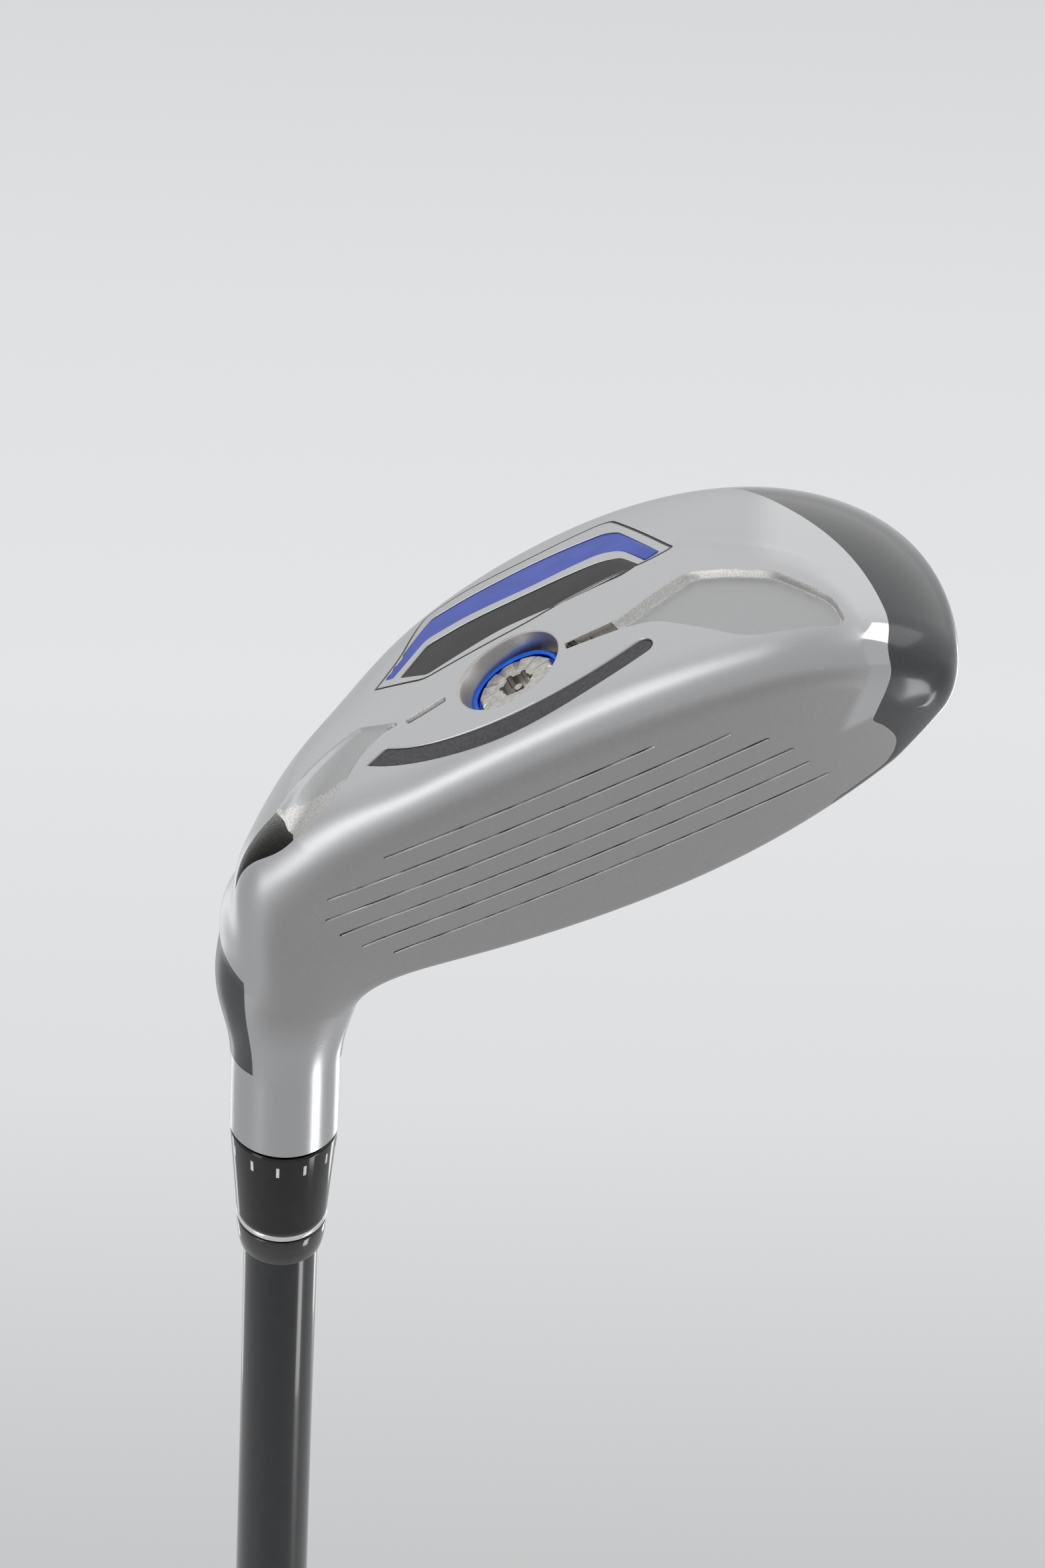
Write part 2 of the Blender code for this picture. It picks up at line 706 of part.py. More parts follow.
def build_grip():
    tape_ends = [CAP_HEIGHT + TAPE_INSET, GRIP_LENGTH - TAPE_INSET]
    tube("grip_tape", tape_paper, tape_outer, tape_inner, tape_ends, ROUND_STEPS)
    low = CAP_HEIGHT + GAP

    def grip_outer(height):
        at = (height - low) / (GRIP_LENGTH - low)
        return GRIP_BUTT_RADIUS + (GRIP_MOUTH_RADIUS - GRIP_BUTT_RADIUS) * at**GRIP_TAPER_POWER

    taper = GRIP_LENGTH - GRIP_BEAD - low
    heights = [low + taper * step / GRIP_STEPS for step in range(GRIP_STEPS + 1)]
    down = [
        (GRIP_MOUTH_RADIUS + GRIP_LIP_PROUD, GRIP_LENGTH),
        (GRIP_MOUTH_RADIUS + GRIP_BEAD_PROUD, GRIP_LENGTH - GRIP_BEAD / 2),
    ]
    down += [(grip_outer(height), height) for height in reversed(heights)]
    back = [(grip_inner(low), low), (grip_inner(GRIP_LENGTH), GRIP_LENGTH)]
    sleeve = part("grip_sleeve", profile("grip_sleeve", down + back), grip_rubber)
    turn(sleeve, ROUND_STEPS)
    cap_points = [
        (0, CAP_HEIGHT), (GRIP_BUTT_RADIUS, CAP_HEIGHT), (GRIP_BUTT_RADIUS + CAP_BULGE, CAP_HEIGHT - CAP_RIM),
        (GRIP_BUTT_RADIUS, CAP_RIM), (GRIP_BUTT_RADIUS - CAP_RIM, 0), (0, 0),
    ]
    cap = part("grip_cap", profile("grip_cap", cap_points, closed=False), cap_rubber)
    turn(cap, ROUND_STEPS)


def build_ferrule():
    ring_high = hosel_end - SLEEVE_VISIBLE - GAP
    ring_low = ring_high - TRIM_HEIGHT
    bore = TIP_RADIUS + GAP
    rim = SLEEVE_TOP_RADIUS - TRIM_INSET
    ring_points = [(rim, ring_high), (rim, ring_low), (bore, ring_low), (bore, ring_high)]
    ring = part("sleeve_trim_ring", profile("sleeve_trim_ring", ring_points), pale_ring)
    turn(ring, ROUND_STEPS)
    high = ring_low - GAP
    low = high - FERRULE_LENGTH
    lip = TIP_RADIUS + FERRULE_LIP
    points = []
    for step in range(FERRULE_STEPS, -1, -1):
        at = step / FERRULE_STEPS
        points.append((lip + (rim - lip) * at**FERRULE_POWER, low + FERRULE_LENGTH * at))
    points += [(bore, low), (bore, high)]
    ferrule = part("ferrule", profile("ferrule", points), black_gloss)
    turn(ferrule, ROUND_STEPS)


def spline_outline(root):
    # Teeth round the root, each narrower at its crest than at its foot.
    outline = []
    foot_radius = root - SPLINE_SINK
    tooth_corners = (
        (-SPLINE_FOOT_SHARE, foot_radius), (-SPLINE_TOP_SHARE, SLEEVE_RADIUS),
        (SPLINE_TOP_SHARE, SLEEVE_RADIUS), (SPLINE_FOOT_SHARE, foot_radius),
    )
    for tooth in range(SPLINE_COUNT):
        for share, radius in tooth_corners:
            angle = 2 * math.pi * (tooth + share) / SPLINE_COUNT
            outline.append((radius * math.cos(angle), radius * math.sin(angle)))
    return outline


def build_sleeve():
    # The collar above the hosel follows the shaft, and the socket below follows the hosel.
    low = hosel_end - SLEEVE_VISIBLE
    high = hosel_end - SLEEVE_TO_HOSEL
    collar = rod("loft_sleeve", SLEEVE_TOP_RADIUS, low, high, ROUND_STEPS, SLEEVE_SHOULDER)
    sleeve = part("loft_sleeve", collar, black_anodised)
    foot = on_axis(SLEEVE_FOOT)
    root = SLEEVE_RADIUS - SPLINE_DEPTH
    spline_top = foot - SPLINE_LENGTH
    barrel_high = on_axis(HOSEL_REACH) - OVERCUT
    barrel = rod("sleeve_barrel", SLEEVE_RADIUS, barrel_high, spline_top - OVERCUT, ROUND_STEPS)
    core = rod("sleeve_core", root, spline_top - 2 * OVERCUT, foot, ROUND_STEPS)
    teeth = spline_outline(root)
    splines = prism("sleeve_splines", teeth, spline_top - OVERCUT / 2, foot - SPLINE_END, hosel_axis)
    combine(sleeve, cutter("sleeve_barrel", barrel, hosel_axis), "UNION")
    combine(sleeve, cutter("sleeve_core", core, hosel_axis), "UNION")
    combine(sleeve, splines, "UNION")
    shaft_bore = rod("shaft_bore", TIP_RADIUS + GAP, low - OVERCUT, tip_end + 2 * GAP, ROUND_STEPS)
    thread = rod("sleeve_thread", SCREW_RADIUS + SCREW_CLEARANCE, on_axis(THREAD_TOP), foot + OVERCUT)
    cut(sleeve, cutter("shaft_bore", shaft_bore), cutter("sleeve_thread", thread, hosel_axis))


def washer_ring(name, radius, low, high, material):
    bore = SCREW_RADIUS + SCREW_CLEARANCE
    points = [(radius, high), (radius, low), (bore, low), (bore, high)]
    turn(part(name, profile(name, points), material, hosel_axis), ROUND_STEPS)


def build_hosel_screw():
    seat = on_axis(SCREW_SEAT)
    washer_low = seat + GAP
    washer_high = washer_low + WASHER_THICKNESS
    washer_ring("hosel_washer", WASHER_RADIUS, washer_low, washer_high, plain_steel)
    retainer_high = on_axis(BORE_FLOOR) - GAP
    retainer_low = retainer_high - RETAINER_THICKNESS
    washer_ring("screw_retaining_ring", RETAINER_RADIUS, retainer_low, retainer_high, nylon)
    head_low = washer_high + GAP
    head_high = head_low + SCREW_HEAD_HEIGHT
    tip = on_axis(SCREW_TIP)
    chamfer = SCREW_CHAMFER
    points = [
        (0, head_high), (SCREW_HEAD_RADIUS - chamfer, head_high), (SCREW_HEAD_RADIUS, head_high - chamfer),
        (SCREW_HEAD_RADIUS, head_low), (SCREW_RADIUS, head_low), (SCREW_RADIUS, tip + chamfer),
        (SCREW_RADIUS - chamfer, tip), (0, tip),
    ]
    screw = part("hosel_screw", profile("hosel_screw", points, closed=False), plain_steel, hosel_axis)
    turn(screw, SMALL_STEPS)
    drive = rod("hosel_screw_drive", DRIVE_RADIUS, head_high - DRIVE_DEPTH, head_high + OVERCUT, DRIVE_SIDES)
    cut(screw, cutter("hosel_screw_drive", drive, hosel_axis))


# Head

def crown_cutter(name, grow):
    # Everything above the crown's joint line, behind the face and clear of the hosel.
    work = bmesh.new()
    bmesh.ops.create_grid(work, x_segments=CROWN_GRID[0], y_segments=CROWN_GRID[1], size=1)
    top = bmesh.ops.extrude_face_region(work, geom=list(work.faces))
    raised = {item for item in top["geom"] if isinstance(item, bmesh.types.BMVert)}
    for vert in work.verts:
        across, along = (vert.co.x + 1) / 2, (vert.co.y + 1) / 2
        # Toe side, back and roof lie clear outside the head.
        x = CROWN_FIELD_LOW[0] + CROWN_FIELD_SIZE[0] * across
        y = CROWN_FIELD_LOW[1] + CROWN_FIELD_SIZE[1] * along
        heel_rise = CROWN_LINE_HEEL_RISE * max(0, CROWN_LINE_HEEL - x)
        z = CROWN_LINE_LOW + (y - CROWN_LINE_MIDDLE) ** 2 / CROWN_LINE_BOW + heel_rise - grow
        if vert in raised:
            z = CROWN_FIELD_ROOF
        heel = (CROWN_HEEL - grow - z * math.cos(LIE)) / math.sin(LIE)
        front = FACE_AT_GROUND - z * math.tan(LOFT) - (CROWN_FRONT_INSET - grow) / COS_LOFT
        back = CROWN_FIELD_LOW[1]
        vert.co = (heel + (CROWN_FIELD_TOE - heel) * across, back + (front - back) * along, z)
    return cutter(name, as_mesh(name, work), address)


face_axes = Matrix((
    (1, 0, 0, 0),
    (0, -SIN_LOFT, COS_LOFT, FACE_AT_GROUND),
    (0, COS_LOFT, SIN_LOFT, 0),
    (0, 0, 0, 1),
))


def face_cutter(name, grow):
    outline = inset(FACE_OUTLINE, -grow)
    item = prism(name, outline, -FACE_PLATE_DEPTH - grow, SURFACE_OVERCUT, address, smooth=True)
    item.matrix_local = face_axes
    return item


def score_cutter(index, height, heel, toe):
    # A thin tube that lies on the bulged face, half sunk.
    flat = np.stack([
        np.linspace(heel, toe, SCORE_STATIONS),
        np.full(SCORE_STATIONS, FACE_AT_GROUND - height * SIN_LOFT),
        np.full(SCORE_STATIONS, height * COS_LOFT),
    ], axis=-1)
    normal = np.array((0, COS_LOFT, SIN_LOFT))
    places = flat - face_distance(flat)[:, None] * normal
    curve = bpy.data.curves.new("score", "CURVE")
    curve.dimensions = "3D"
    curve.bevel_depth = SCORE_RADIUS
    curve.bevel_resolution = 1
    curve.use_fill_caps = True
    spline = curve.splines.new("POLY")
    spline.points.add(SCORE_STATIONS - 1)
    for point, place in zip(spline.points, places):
        point.co = (*place, 1)
    name = f"score_{index}"
    return cutter(name, mesh_of_curve(name, curve), address)


def slot_outline(half_width, half_angle):
    arcs = []
    for radius, order in ((SLOT_RADIUS + half_width, 1), (SLOT_RADIUS - half_width, -1)):
        for step in range(ARC_STEPS + 1):
            angle = order * half_angle * (1 - 2 * step / ARC_STEPS)
            x = SLOT_CENTRE[0] + radius * math.sin(angle)
            y = SLOT_CENTRE[1] + radius * math.cos(angle)
            arcs.append((x, y))
    return arcs


def scoop_outline():
    # The screw port widens towards the face into a slot with round ends.
    angles = [math.pi * step / ARC_STEPS for step in range(ARC_STEPS + 1)]
    near = [
        (SCOOP_RADIUS * math.cos(angle), SCOOP_RADIUS * math.sin(angle) - SCOOP_SHIFT)
        for angle in angles
    ]
    return near + [(-x, -y - SCOOP_REACH) for x, y in near]


def on_sole(name, outline, layer):
    # The stretch of a layer of the sole that lies inside an outline.
    item = prism(name, outline, BELOW_SOLE, ABOVE_SOLE, address)
    combine(item, layer, "INTERSECT")
    return item


def inlay(name, outline, layer, material):
    # A thin piece that follows the sole inside an outline.
    flat = prism(f"{name}_outline", outline, BELOW_SOLE, ABOVE_SOLE, address)
    item = part(name, flat.data.copy(), material, address)
    bpy.data.objects.remove(flat)
    combine(item, layer, "INTERSECT")
    return item


def build_head():
    outer = blown_form("head_outer", outer_form, HEAD_SUBDIVISIONS)
    cavity = cutter("head_cavity", blown_form("head_cavity", cavity_form, CAVITY_SUBDIVISIONS), address)
    body = part("head_body", outer, blasted_steel, address)
    crown = part("crown_plate", outer.copy(), gunmetal_paint, address)
    face = part("face_plate", outer.copy(), brushed_steel, address)
    for item in (body, crown, face):
        thin_out(item, HEAD_KEPT)
    thin_out(cavity, CAVITY_KEPT)

    combine(body, cutter("hosel_tube", hosel_tube("hosel_tube"), address), "UNION")
    for item in (body, crown, face):
        cut(item, cavity)
    boss = rod("weight_boss", WEIGHT_BOSS_RADIUS, -WEIGHT_BOSS_DEPTH, -WEIGHT_BOSS_TOP, ROUND_STEPS)
    combine(body, cutter("weight_boss", boss, weight_axis), "UNION")

    cut(body, crown_cutter("crown_opening", GAP), face_cutter("face_opening", GAP))
    combine(crown, crown_cutter("crown_region", 0), "INTERSECT")
    cut(crown, face_cutter("face_clearance", GAP))
    combine(face, face_cutter("face_region", 0), "INTERSECT")
    for index, (height, heel, toe) in enumerate(SCORE_LINES):
        cut(face, score_cutter(index, height, heel, toe))

    # Bores on the hosel axis
    hosel_bores = (
        ("sleeve_socket", BORE_RADIUS, on_axis(HOSEL_REACH) - OVERCUT, on_axis(BORE_FLOOR), ROUND_STEPS),
        ("screw_hole", SCREW_RADIUS + SCREW_HOLE_CLEARANCE, on_axis(BORE_FLOOR) - OVERCUT,
         on_axis(SCREW_SEAT) + OVERCUT, SMALL_STEPS),
        ("screw_port", PORT_RADIUS, on_axis(SCREW_SEAT), on_axis(BELOW_SOLE), ROUND_STEPS),
    )
    for name, radius, low, high, steps in hosel_bores:
        cut(body, cutter(name, rod(name, radius, low, high, steps), hosel_axis))

    # Sole recesses
    pocket_layer = cutter("pocket_layer", sole_layer("pocket_layer", SURFACE_OVERCUT, POCKET_DEPTH), address)
    badge_layer = cutter("badge_layer", sole_layer("badge_layer", SURFACE_OVERCUT, BADGE_DEPTH), address)
    cut(body, on_sole("toe_pocket", TOE_POCKET, pocket_layer))
    cut(body, on_sole("heel_pocket", HEEL_POCKET, pocket_layer))
    cut(body, prism("heel_scoop", scoop_outline(), on_axis(SCOOP_ROOF), on_axis(BELOW_SOLE), hosel_axis))
    cut(body, on_sole("badge_band_recess", BADGE_BAND, badge_layer))
    cut(body, on_sole("badge_panel_recess", BADGE_PANEL, badge_layer))
    slot = slot_outline(SLOT_HALF_WIDTH, SLOT_HALF_ANGLE)
    cut(body, prism("slot_opening", slot, BELOW_SOLE, SLOT_TOP, address))
    port = rod("weight_port", WEIGHT_PORT_RADIUS, -WEIGHT_PORT_DEPTH, SURFACE_OVERCUT, ROUND_STEPS)
    hole_top = OVERCUT - WEIGHT_PORT_DEPTH
    hole = rod("weight_hole", WEIGHT_HOLE_RADIUS, -WEIGHT_HOLE_DEPTH, hole_top, SMALL_STEPS)
    cut(body, cutter("weight_port", port, weight_axis), cutter("weight_hole", hole, weight_axis))


def build_sole_inlays():
    badge_slab = sole_layer("inlay_layer", -BADGE_RECESS, BADGE_DEPTH - GAP)
    badge_layer = cutter("inlay_layer", badge_slab, address)
    inlay("badge_band", inset(BADGE_BAND, GAP), badge_layer, blue_enamel)
    inlay("badge_panel", inset(BADGE_PANEL, GAP), badge_layer, black_enamel)
    filler_slab = sole_layer("filler_layer", -FILLER_RECESS, FILLER_THICKNESS)
    filler_layer = cutter("filler_layer", filler_slab, address)
    shorter = SLOT_HALF_ANGLE - GAP / SLOT_RADIUS
    inlay("slot_filler", slot_outline(SLOT_HALF_WIDTH - GAP, shorter), filler_layer, charcoal_polymer)


def drive_outline():
    # A round socket with lobes, for a star-shaped wrench.
    outline = []
    for step in range(LOBE_STEPS):
        angle = 2 * math.pi * step / LOBE_STEPS
        radius = DRIVE_RADIUS * (1 + CORE_DRIVE_WAVE * math.cos(CORE_DRIVE_LOBES * angle))
        outline.append((radius * math.cos(angle), radius * math.sin(angle)))
    return outline


def build_weight():
    floor = -WEIGHT_PORT_DEPTH + GAP
    lip = floor + COLLAR_LIP
    rim = floor + COLLAR_HEIGHT
    chamfer = COLLAR_CHAMFER
    ring = [
        (COLLAR_RADIUS - chamfer, rim), (COLLAR_RADIUS, rim - chamfer), (COLLAR_RADIUS, floor),
        (COLLAR_LIP_RADIUS, floor), (COLLAR_LIP_RADIUS, lip), (COLLAR_CUP_RADIUS, lip),
        (COLLAR_CUP_RADIUS, rim),
    ]
    collar = part("weight_collar", profile("weight_collar", ring), blue_anodised, weight_axis)
    turn(collar, ROUND_STEPS)
    top = rim + CORE_PROUD
    shoulder = lip + GAP
    points = [
        (0, top), (CORE_RADIUS - chamfer, top), (CORE_RADIUS, top - chamfer), (CORE_RADIUS, shoulder),
        (CORE_SHANK_RADIUS, shoulder), (CORE_SHANK_RADIUS, -CORE_SHANK_END), (0, -CORE_SHANK_END),
    ]
    core = part("weight_screw", profile("weight_screw", points, closed=False), plain_steel, weight_axis)
    turn(core, ROUND_STEPS)
    cut(core, prism("weight_drive", drive_outline(), top - CORE_DRIVE_DEPTH, top + OVERCUT, weight_axis))
    for flute in range(FLUTE_COUNT):
        angle = 2 * math.pi * (flute + 0.5) / FLUTE_COUNT
        name = f"weight_flute_{flute}"
        scoop = rod(name, FLUTE_RADIUS, top - FLUTE_DEPTH, top + OVERCUT, FLUTE_STEPS)
        groove = cutter(name, scoop, weight_axis)
        groove.location = (CORE_RADIUS * math.cos(angle), CORE_RADIUS * math.sin(angle), 0)
        cut(core, groove)


build_shaft()
build_grip()
build_ferrule()
build_sleeve()
build_hosel_screw()
build_head()
build_sole_inlays()
build_weight()
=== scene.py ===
import json
import math

import bmesh
import bpy
import numpy as np
from mathutils import Matrix, Vector
from mathutils.geometry import delaunay_2d_cdt


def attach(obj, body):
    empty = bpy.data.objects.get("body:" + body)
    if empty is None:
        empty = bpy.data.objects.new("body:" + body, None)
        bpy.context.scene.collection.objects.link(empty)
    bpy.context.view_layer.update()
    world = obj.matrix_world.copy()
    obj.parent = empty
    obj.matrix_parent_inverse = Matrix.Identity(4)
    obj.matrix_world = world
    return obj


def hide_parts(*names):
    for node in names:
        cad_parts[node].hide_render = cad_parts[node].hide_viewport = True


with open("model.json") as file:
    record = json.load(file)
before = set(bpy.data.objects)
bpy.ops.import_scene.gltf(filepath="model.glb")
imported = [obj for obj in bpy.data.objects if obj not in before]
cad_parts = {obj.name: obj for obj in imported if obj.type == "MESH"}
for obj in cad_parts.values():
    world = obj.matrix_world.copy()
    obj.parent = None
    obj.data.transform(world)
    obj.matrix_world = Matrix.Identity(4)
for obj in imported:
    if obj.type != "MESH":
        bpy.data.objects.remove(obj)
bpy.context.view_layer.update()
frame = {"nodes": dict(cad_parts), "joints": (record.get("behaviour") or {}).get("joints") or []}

print("frame loaded")

# The hosel, the head at address and the weight each have a frame of their own, hung on the frame's joints
joints = {joint["name"]: joint for joint in frame["joints"]}
club = dict(lie=59, loft=19, groundPoint=0.050, millimetre=0.001)


def jointFrame(name):
    turn = Vector((0, 0, 1)).rotation_difference(Vector(joints[name]["axis"]))
    return Matrix.Translation(joints[name]["pos_m"]) @ turn.to_matrix().to_4x4()


hoselFrame = jointFrame("loft_setting")
weightFrame = jointFrame("weight_screw_turn")
sinLie, cosLie = math.sin(math.radians(club["lie"])), math.cos(math.radians(club["lie"]))
sinLoft, cosLoft = math.sin(math.radians(club["loft"])), math.cos(math.radians(club["loft"]))
addressTurn = Matrix(((sinLie, 0, cosLie, 0), (0, -1, 0, 0), (cosLie, 0, -sinLie, 0), (0, 0, 0, 1)))
addressFrame = hoselFrame @ Matrix.Translation((0, 0, club["groundPoint"])) @ addressTurn
addressFrame = addressFrame @ Matrix.Scale(club["millimetre"], 4)
hoselUp = np.array((-cosLie, 0, sinLie))


def placed(points, matrix):
    grid = np.asarray(matrix, float)
    return np.asarray(points, float) @ grid[:3, :3].T + grid[:3, 3]


def added(name, data):
    made = bpy.data.objects.new(name, data)
    bpy.context.scene.collection.objects.link(made)
    return made


# Camera: turned about the hosel ring, and rolled a little, as the club was held
view = dict(
    turn=-0.0571311, height=0.6902168, roll=0.0673082, distance=0.6, across=0.02958731, up=0.04175862,
    focal=7255.605, imageHeight=2352, sensor=36, ring=-0.010, clipStart=0.01,
)


def makeCamera():
    a, e, roll = view["turn"], view["height"], view["roll"]
    back = Vector((math.sin(a) * math.cos(e), -math.cos(a) * math.cos(e), math.sin(e)))
    level = Vector((math.cos(a), math.sin(a), 0))
    upright = back.cross(level)
    right = math.cos(roll) * level + math.sin(roll) * upright
    up = -math.sin(roll) * level + math.cos(roll) * upright
    rest = Matrix((right, up, back)).transposed().to_4x4()
    rest.translation = view["across"] * right + view["up"] * up + view["distance"] * back
    data = bpy.data.cameras.new("camera")
    data.sensor_fit = "VERTICAL"
    data.sensor_height = view["sensor"]
    data.lens = view["focal"] / view["imageHeight"] * view["sensor"]
    data.clip_start = view["clipStart"]
    camera = added("camera", data)
    camera.matrix_world = hoselFrame @ Matrix.Translation((0, 0, view["ring"])) @ rest
    bpy.context.scene.camera = camera


makeCamera()
print("camera set")


# Shader maths: a wire is one socket, and sums of wires add their own nodes
class Wire:
    def __init__(self, tree, socket=None):
        self.tree = tree
        self.socket = socket

    def node(self, kind, settings=None, inputs=None, output=0):
        made = self.tree.nodes.new(kind)
        for name, value in (settings or {}).items():
            if name == "stops":
                for at, _ in value[1:-1]:
                    made.color_ramp.elements.new(at)
                for element, (at, colour) in zip(made.color_ramp.elements, value):
                    element.position = at
                    element.color = colour
            else:
                setattr(made, name, value)
        for key, value in (inputs or {}).items():
            if isinstance(value, Wire):
                self.tree.links.new(value.socket, made.inputs[key])
            else:
                made.inputs[key].default_value = value
        return Wire(self.tree, made.outputs[output])

    def math(self, operation, a, b=0.0, c=0.0):
        return self.node("ShaderNodeMath", {"operation": operation}, {0: a, 1: b, 2: c})

    def __add__(self, other):
        return self.math("ADD", self, other)

    def __radd__(self, other):
        return self.math("ADD", other, self)

    def __sub__(self, other):
        return self.math("SUBTRACT", self, other)

    def __rsub__(self, other):
        return self.math("SUBTRACT", other, self)

    def __mul__(self, other):
        return self.math("MULTIPLY", self, other)

    def __rmul__(self, other):
        return self.math("MULTIPLY", other, self)

    def __truediv__(self, other):
        return self.math("DIVIDE", self, other)

    def between(self, low, high):
        smooth = {"interpolation_type": "SMOOTHSTEP"}
        return self.node("ShaderNodeMapRange", smooth, {0: self, 1: low, 2: high, 3: 0.0, 4: 1.0})

    def above(self, soft):
        return self.between(-soft, soft)

    def object(self):
        return self.node("ShaderNodeTexCoord", output="Object")

    def attribute(self, name, output="Fac"):
        return self.node("ShaderNodeAttribute", {"attribute_name": name}, output=output)

    def stretched(self, scale):
        return self.node("ShaderNodeMapping", {}, {"Vector": self, "Scale": scale})

    def axis(self, name):
        return self.node("ShaderNodeSeparateXYZ", {}, {0: self}, output=name)

    def noise(self, scale=1.0, detail=2.0, rough=0.5):
        sizes = {"Vector": self, "Scale": scale, "Detail": detail, "Roughness": rough}
        return self.node("ShaderNodeTexNoise", {}, sizes)

    def mixed(self, a, b):
        blend = {"data_type": "RGBA"}
        return self.node("ShaderNodeMix", blend, {0: self, 6: rgb(a), 7: rgb(b)}, output=2)

    def bump(self, strength, distance):
        return self.node("ShaderNodeBump", {}, {"Strength": strength, "Distance": distance, "Height": self})


def rgb(colour):
    return colour if isinstance(colour, Wire) else (*colour, 1)


def startFinish(name):
    made = bpy.data.materials.new(name)
    made.use_nodes = True
    return made, Wire(made.node_tree)


def finished(made, sockets):
    tree = made.node_tree
    for label, value in sockets.items():
        socket = tree.nodes["Principled BSDF"].inputs[label]
        if isinstance(value, Wire):
            tree.links.new(value.socket, socket)
        else:
            socket.default_value = rgb(value) if isinstance(value, tuple) else value
    return made


# Stage: pale floor, soft boxes and a pale room
stage = dict(
    floorSize=12.0, floorTone=0.80, floorRough=0.9, glow=0.65, cool=(1, 1.008, 1.028),
    room=0.50, back=0.80, roomFrom=-0.4, roomTo=0.9, target=(0.03, 0, 1.03),
)
# The floor's glow is a painted band of light, brightest behind the club and darker on the camera's side
floorLightBand = [  # place along the floor, and tone
    (-1.5, 0.40), (-0.3, 0.42), (0.65, 0.50), (0.79, 0.63), (0.98, 0.83), (1.24, 0.91), (1.55, 0.865),
    (1.9, 0.76), (3.5, 0.62),
]
softBoxes = dict(  # azimuth, 0 at the camera's side and 90 at the toe's, height, distance, size and power
    leftStrip=(-50, 9, 1.05, (0.34, 2.0), 3.2),
    leftTop=(-64, 60, 1.2, (0.6, 0.42), 0.9),
    rightStrip=(67, -40, 0.9, (0.145, 0.43), 0.75),
    toeSide=(95, 32, 1.5, (0.9, 0.9), 2.6),
    backLeft=(-143, -38, 0.9, (0.13, 0.43), 0.21),
    backRight=(141, -38, 0.9, (0.145, 0.43), 0.47),
)


def floorFinish():
    # Lit by the lamps for other surfaces, and partly glowing where it is seen or mirrored, with a painted
    # band of light along it
    paper, wire = startFinish("floorPaper")
    finished(paper, {"Base Color": (stage["floorTone"],) * 3, "Roughness": stage["floorRough"]})
    tree = paper.node_tree
    low, high = floorLightBand[0][0], floorLightBand[-1][0]
    along = (wire.object().axis("Y") - low) / (high - low)
    stops = []
    for at, tone in floorLightBand:
        stops.append(((at - low) / (high - low), (*(tone * part for part in stage["cool"]), 1)))
    tone = wire.node("ShaderNodeValToRGB", {"stops": stops}, {0: along})
    light = wire.node("ShaderNodeEmission", {}, {0: tone})
    kinds = ("Camera", "Glossy", "Transmission")
    direct, mirrored, through = [wire.node("ShaderNodeLightPath", output=f"Is {kind} Ray") for kind in kinds]
    seen = direct + mirrored + through
    share = seen.math("MINIMUM", seen, 1.0) * stage["glow"]
    diffuse = Wire(tree, tree.nodes["Principled BSDF"].outputs[0])
    both = wire.node("ShaderNodeMixShader", {}, {0: share, 1: diffuse, 2: light})
    tree.links.new(both.socket, tree.nodes["Material Output"].inputs["Surface"])
    return paper


def makeFloor():
    mesh = bpy.data.meshes.new("floor")
    work = bmesh.new()
    bmesh.ops.create_grid(work, x_segments=1, y_segments=1, size=stage["floorSize"] / 2)
    work.to_mesh(mesh)
    work.free()
    mesh.materials.append(floorFinish())
    added("floor", mesh)


def makeRoom():
    world = bpy.data.worlds.new("room")
    bpy.context.scene.world = world
    world.use_nodes = True
    tree = world.node_tree
    away = Wire(tree).node("ShaderNodeTexCoord", output="Generated").axis("Y")
    tone = away.between(stage["roomFrom"], stage["roomTo"])
    tone = tone.mixed((stage["room"],) * 3, (stage["back"],) * 3)
    tree.links.new(tone.socket, tree.nodes["Background"].inputs["Color"])


def makeSoftBox(name, azimuth, height, distance, size, power):
    a, e = math.radians(azimuth), math.radians(height)
    target = Vector(stage["target"])
    place = target + distance * Vector((math.cos(e) * math.sin(a), -math.cos(e) * math.cos(a), math.sin(e)))
    data = bpy.data.lights.new(name, "AREA")
    data.shape = "RECTANGLE"
    data.size, data.size_y = size
    data.energy = power
    light = added(name, data)
    light.location = place
    light.rotation_euler = (target - place).to_track_quat("-Z", "Y").to_euler()
    light.visible_camera = False


bpy.context.scene.view_settings.view_transform = "Standard"
makeFloor()
makeRoom()
for name, values in softBoxes.items():
    makeSoftBox(name, *values)
print("stage set")


# Mesh helpers
def smoothed(mesh, sharp=32):
    mesh.shade_smooth()
    mesh.set_sharp_from_angle(angle=math.radians(sharp))


def asObject(name, points, faces, matrix=None, materials=(), zones=None, sharp=35):
    points = np.asarray(points, float)
    if matrix is not None:
        points = placed(points, matrix)
    mesh = bpy.data.meshes.new(name)
    mesh.from_pydata(points.tolist(), [], [tuple(int(i) for i in face) for face in faces])
    for item in materials:
        mesh.materials.append(item)
    if zones is not None:
        mesh.polygons.foreach_set("material_index", np.asarray(zones, np.int32))
    smoothed(mesh, sharp)
    return added(name, mesh)


def facingOut(made):
    work = bmesh.new()
    work.from_mesh(made.data)
    bmesh.ops.recalc_face_normals(work, faces=work.faces)
    work.to_mesh(made.data)
    work.free()
    return made


def softened(corners, closed=True, steps=5, most=0.48):
    # Each corner is x, y and how much of it is rounded away
    out = []
    count = len(corners)
    for index, (x, y, radius) in enumerate(corners):
        here = np.array((x, y), float)
        if radius == 0 or (not closed and index in (0, count - 1)):
            out.append(here)
            continue
        before = np.array(corners[index - 1][:2], float) - here
        after = np.array(corners[(index + 1) % count][:2], float) - here
        reach = min(radius, most * np.linalg.norm(before), most * np.linalg.norm(after))
        start = here + before / np.linalg.norm(before) * reach
        end = here + after / np.linalg.norm(after) * reach
        for t in np.linspace(0, 1, steps + 1):
            out.append((1 - t) ** 2 * start + 2 * t * (1 - t) * here + t * t * end)
    return np.array(out)


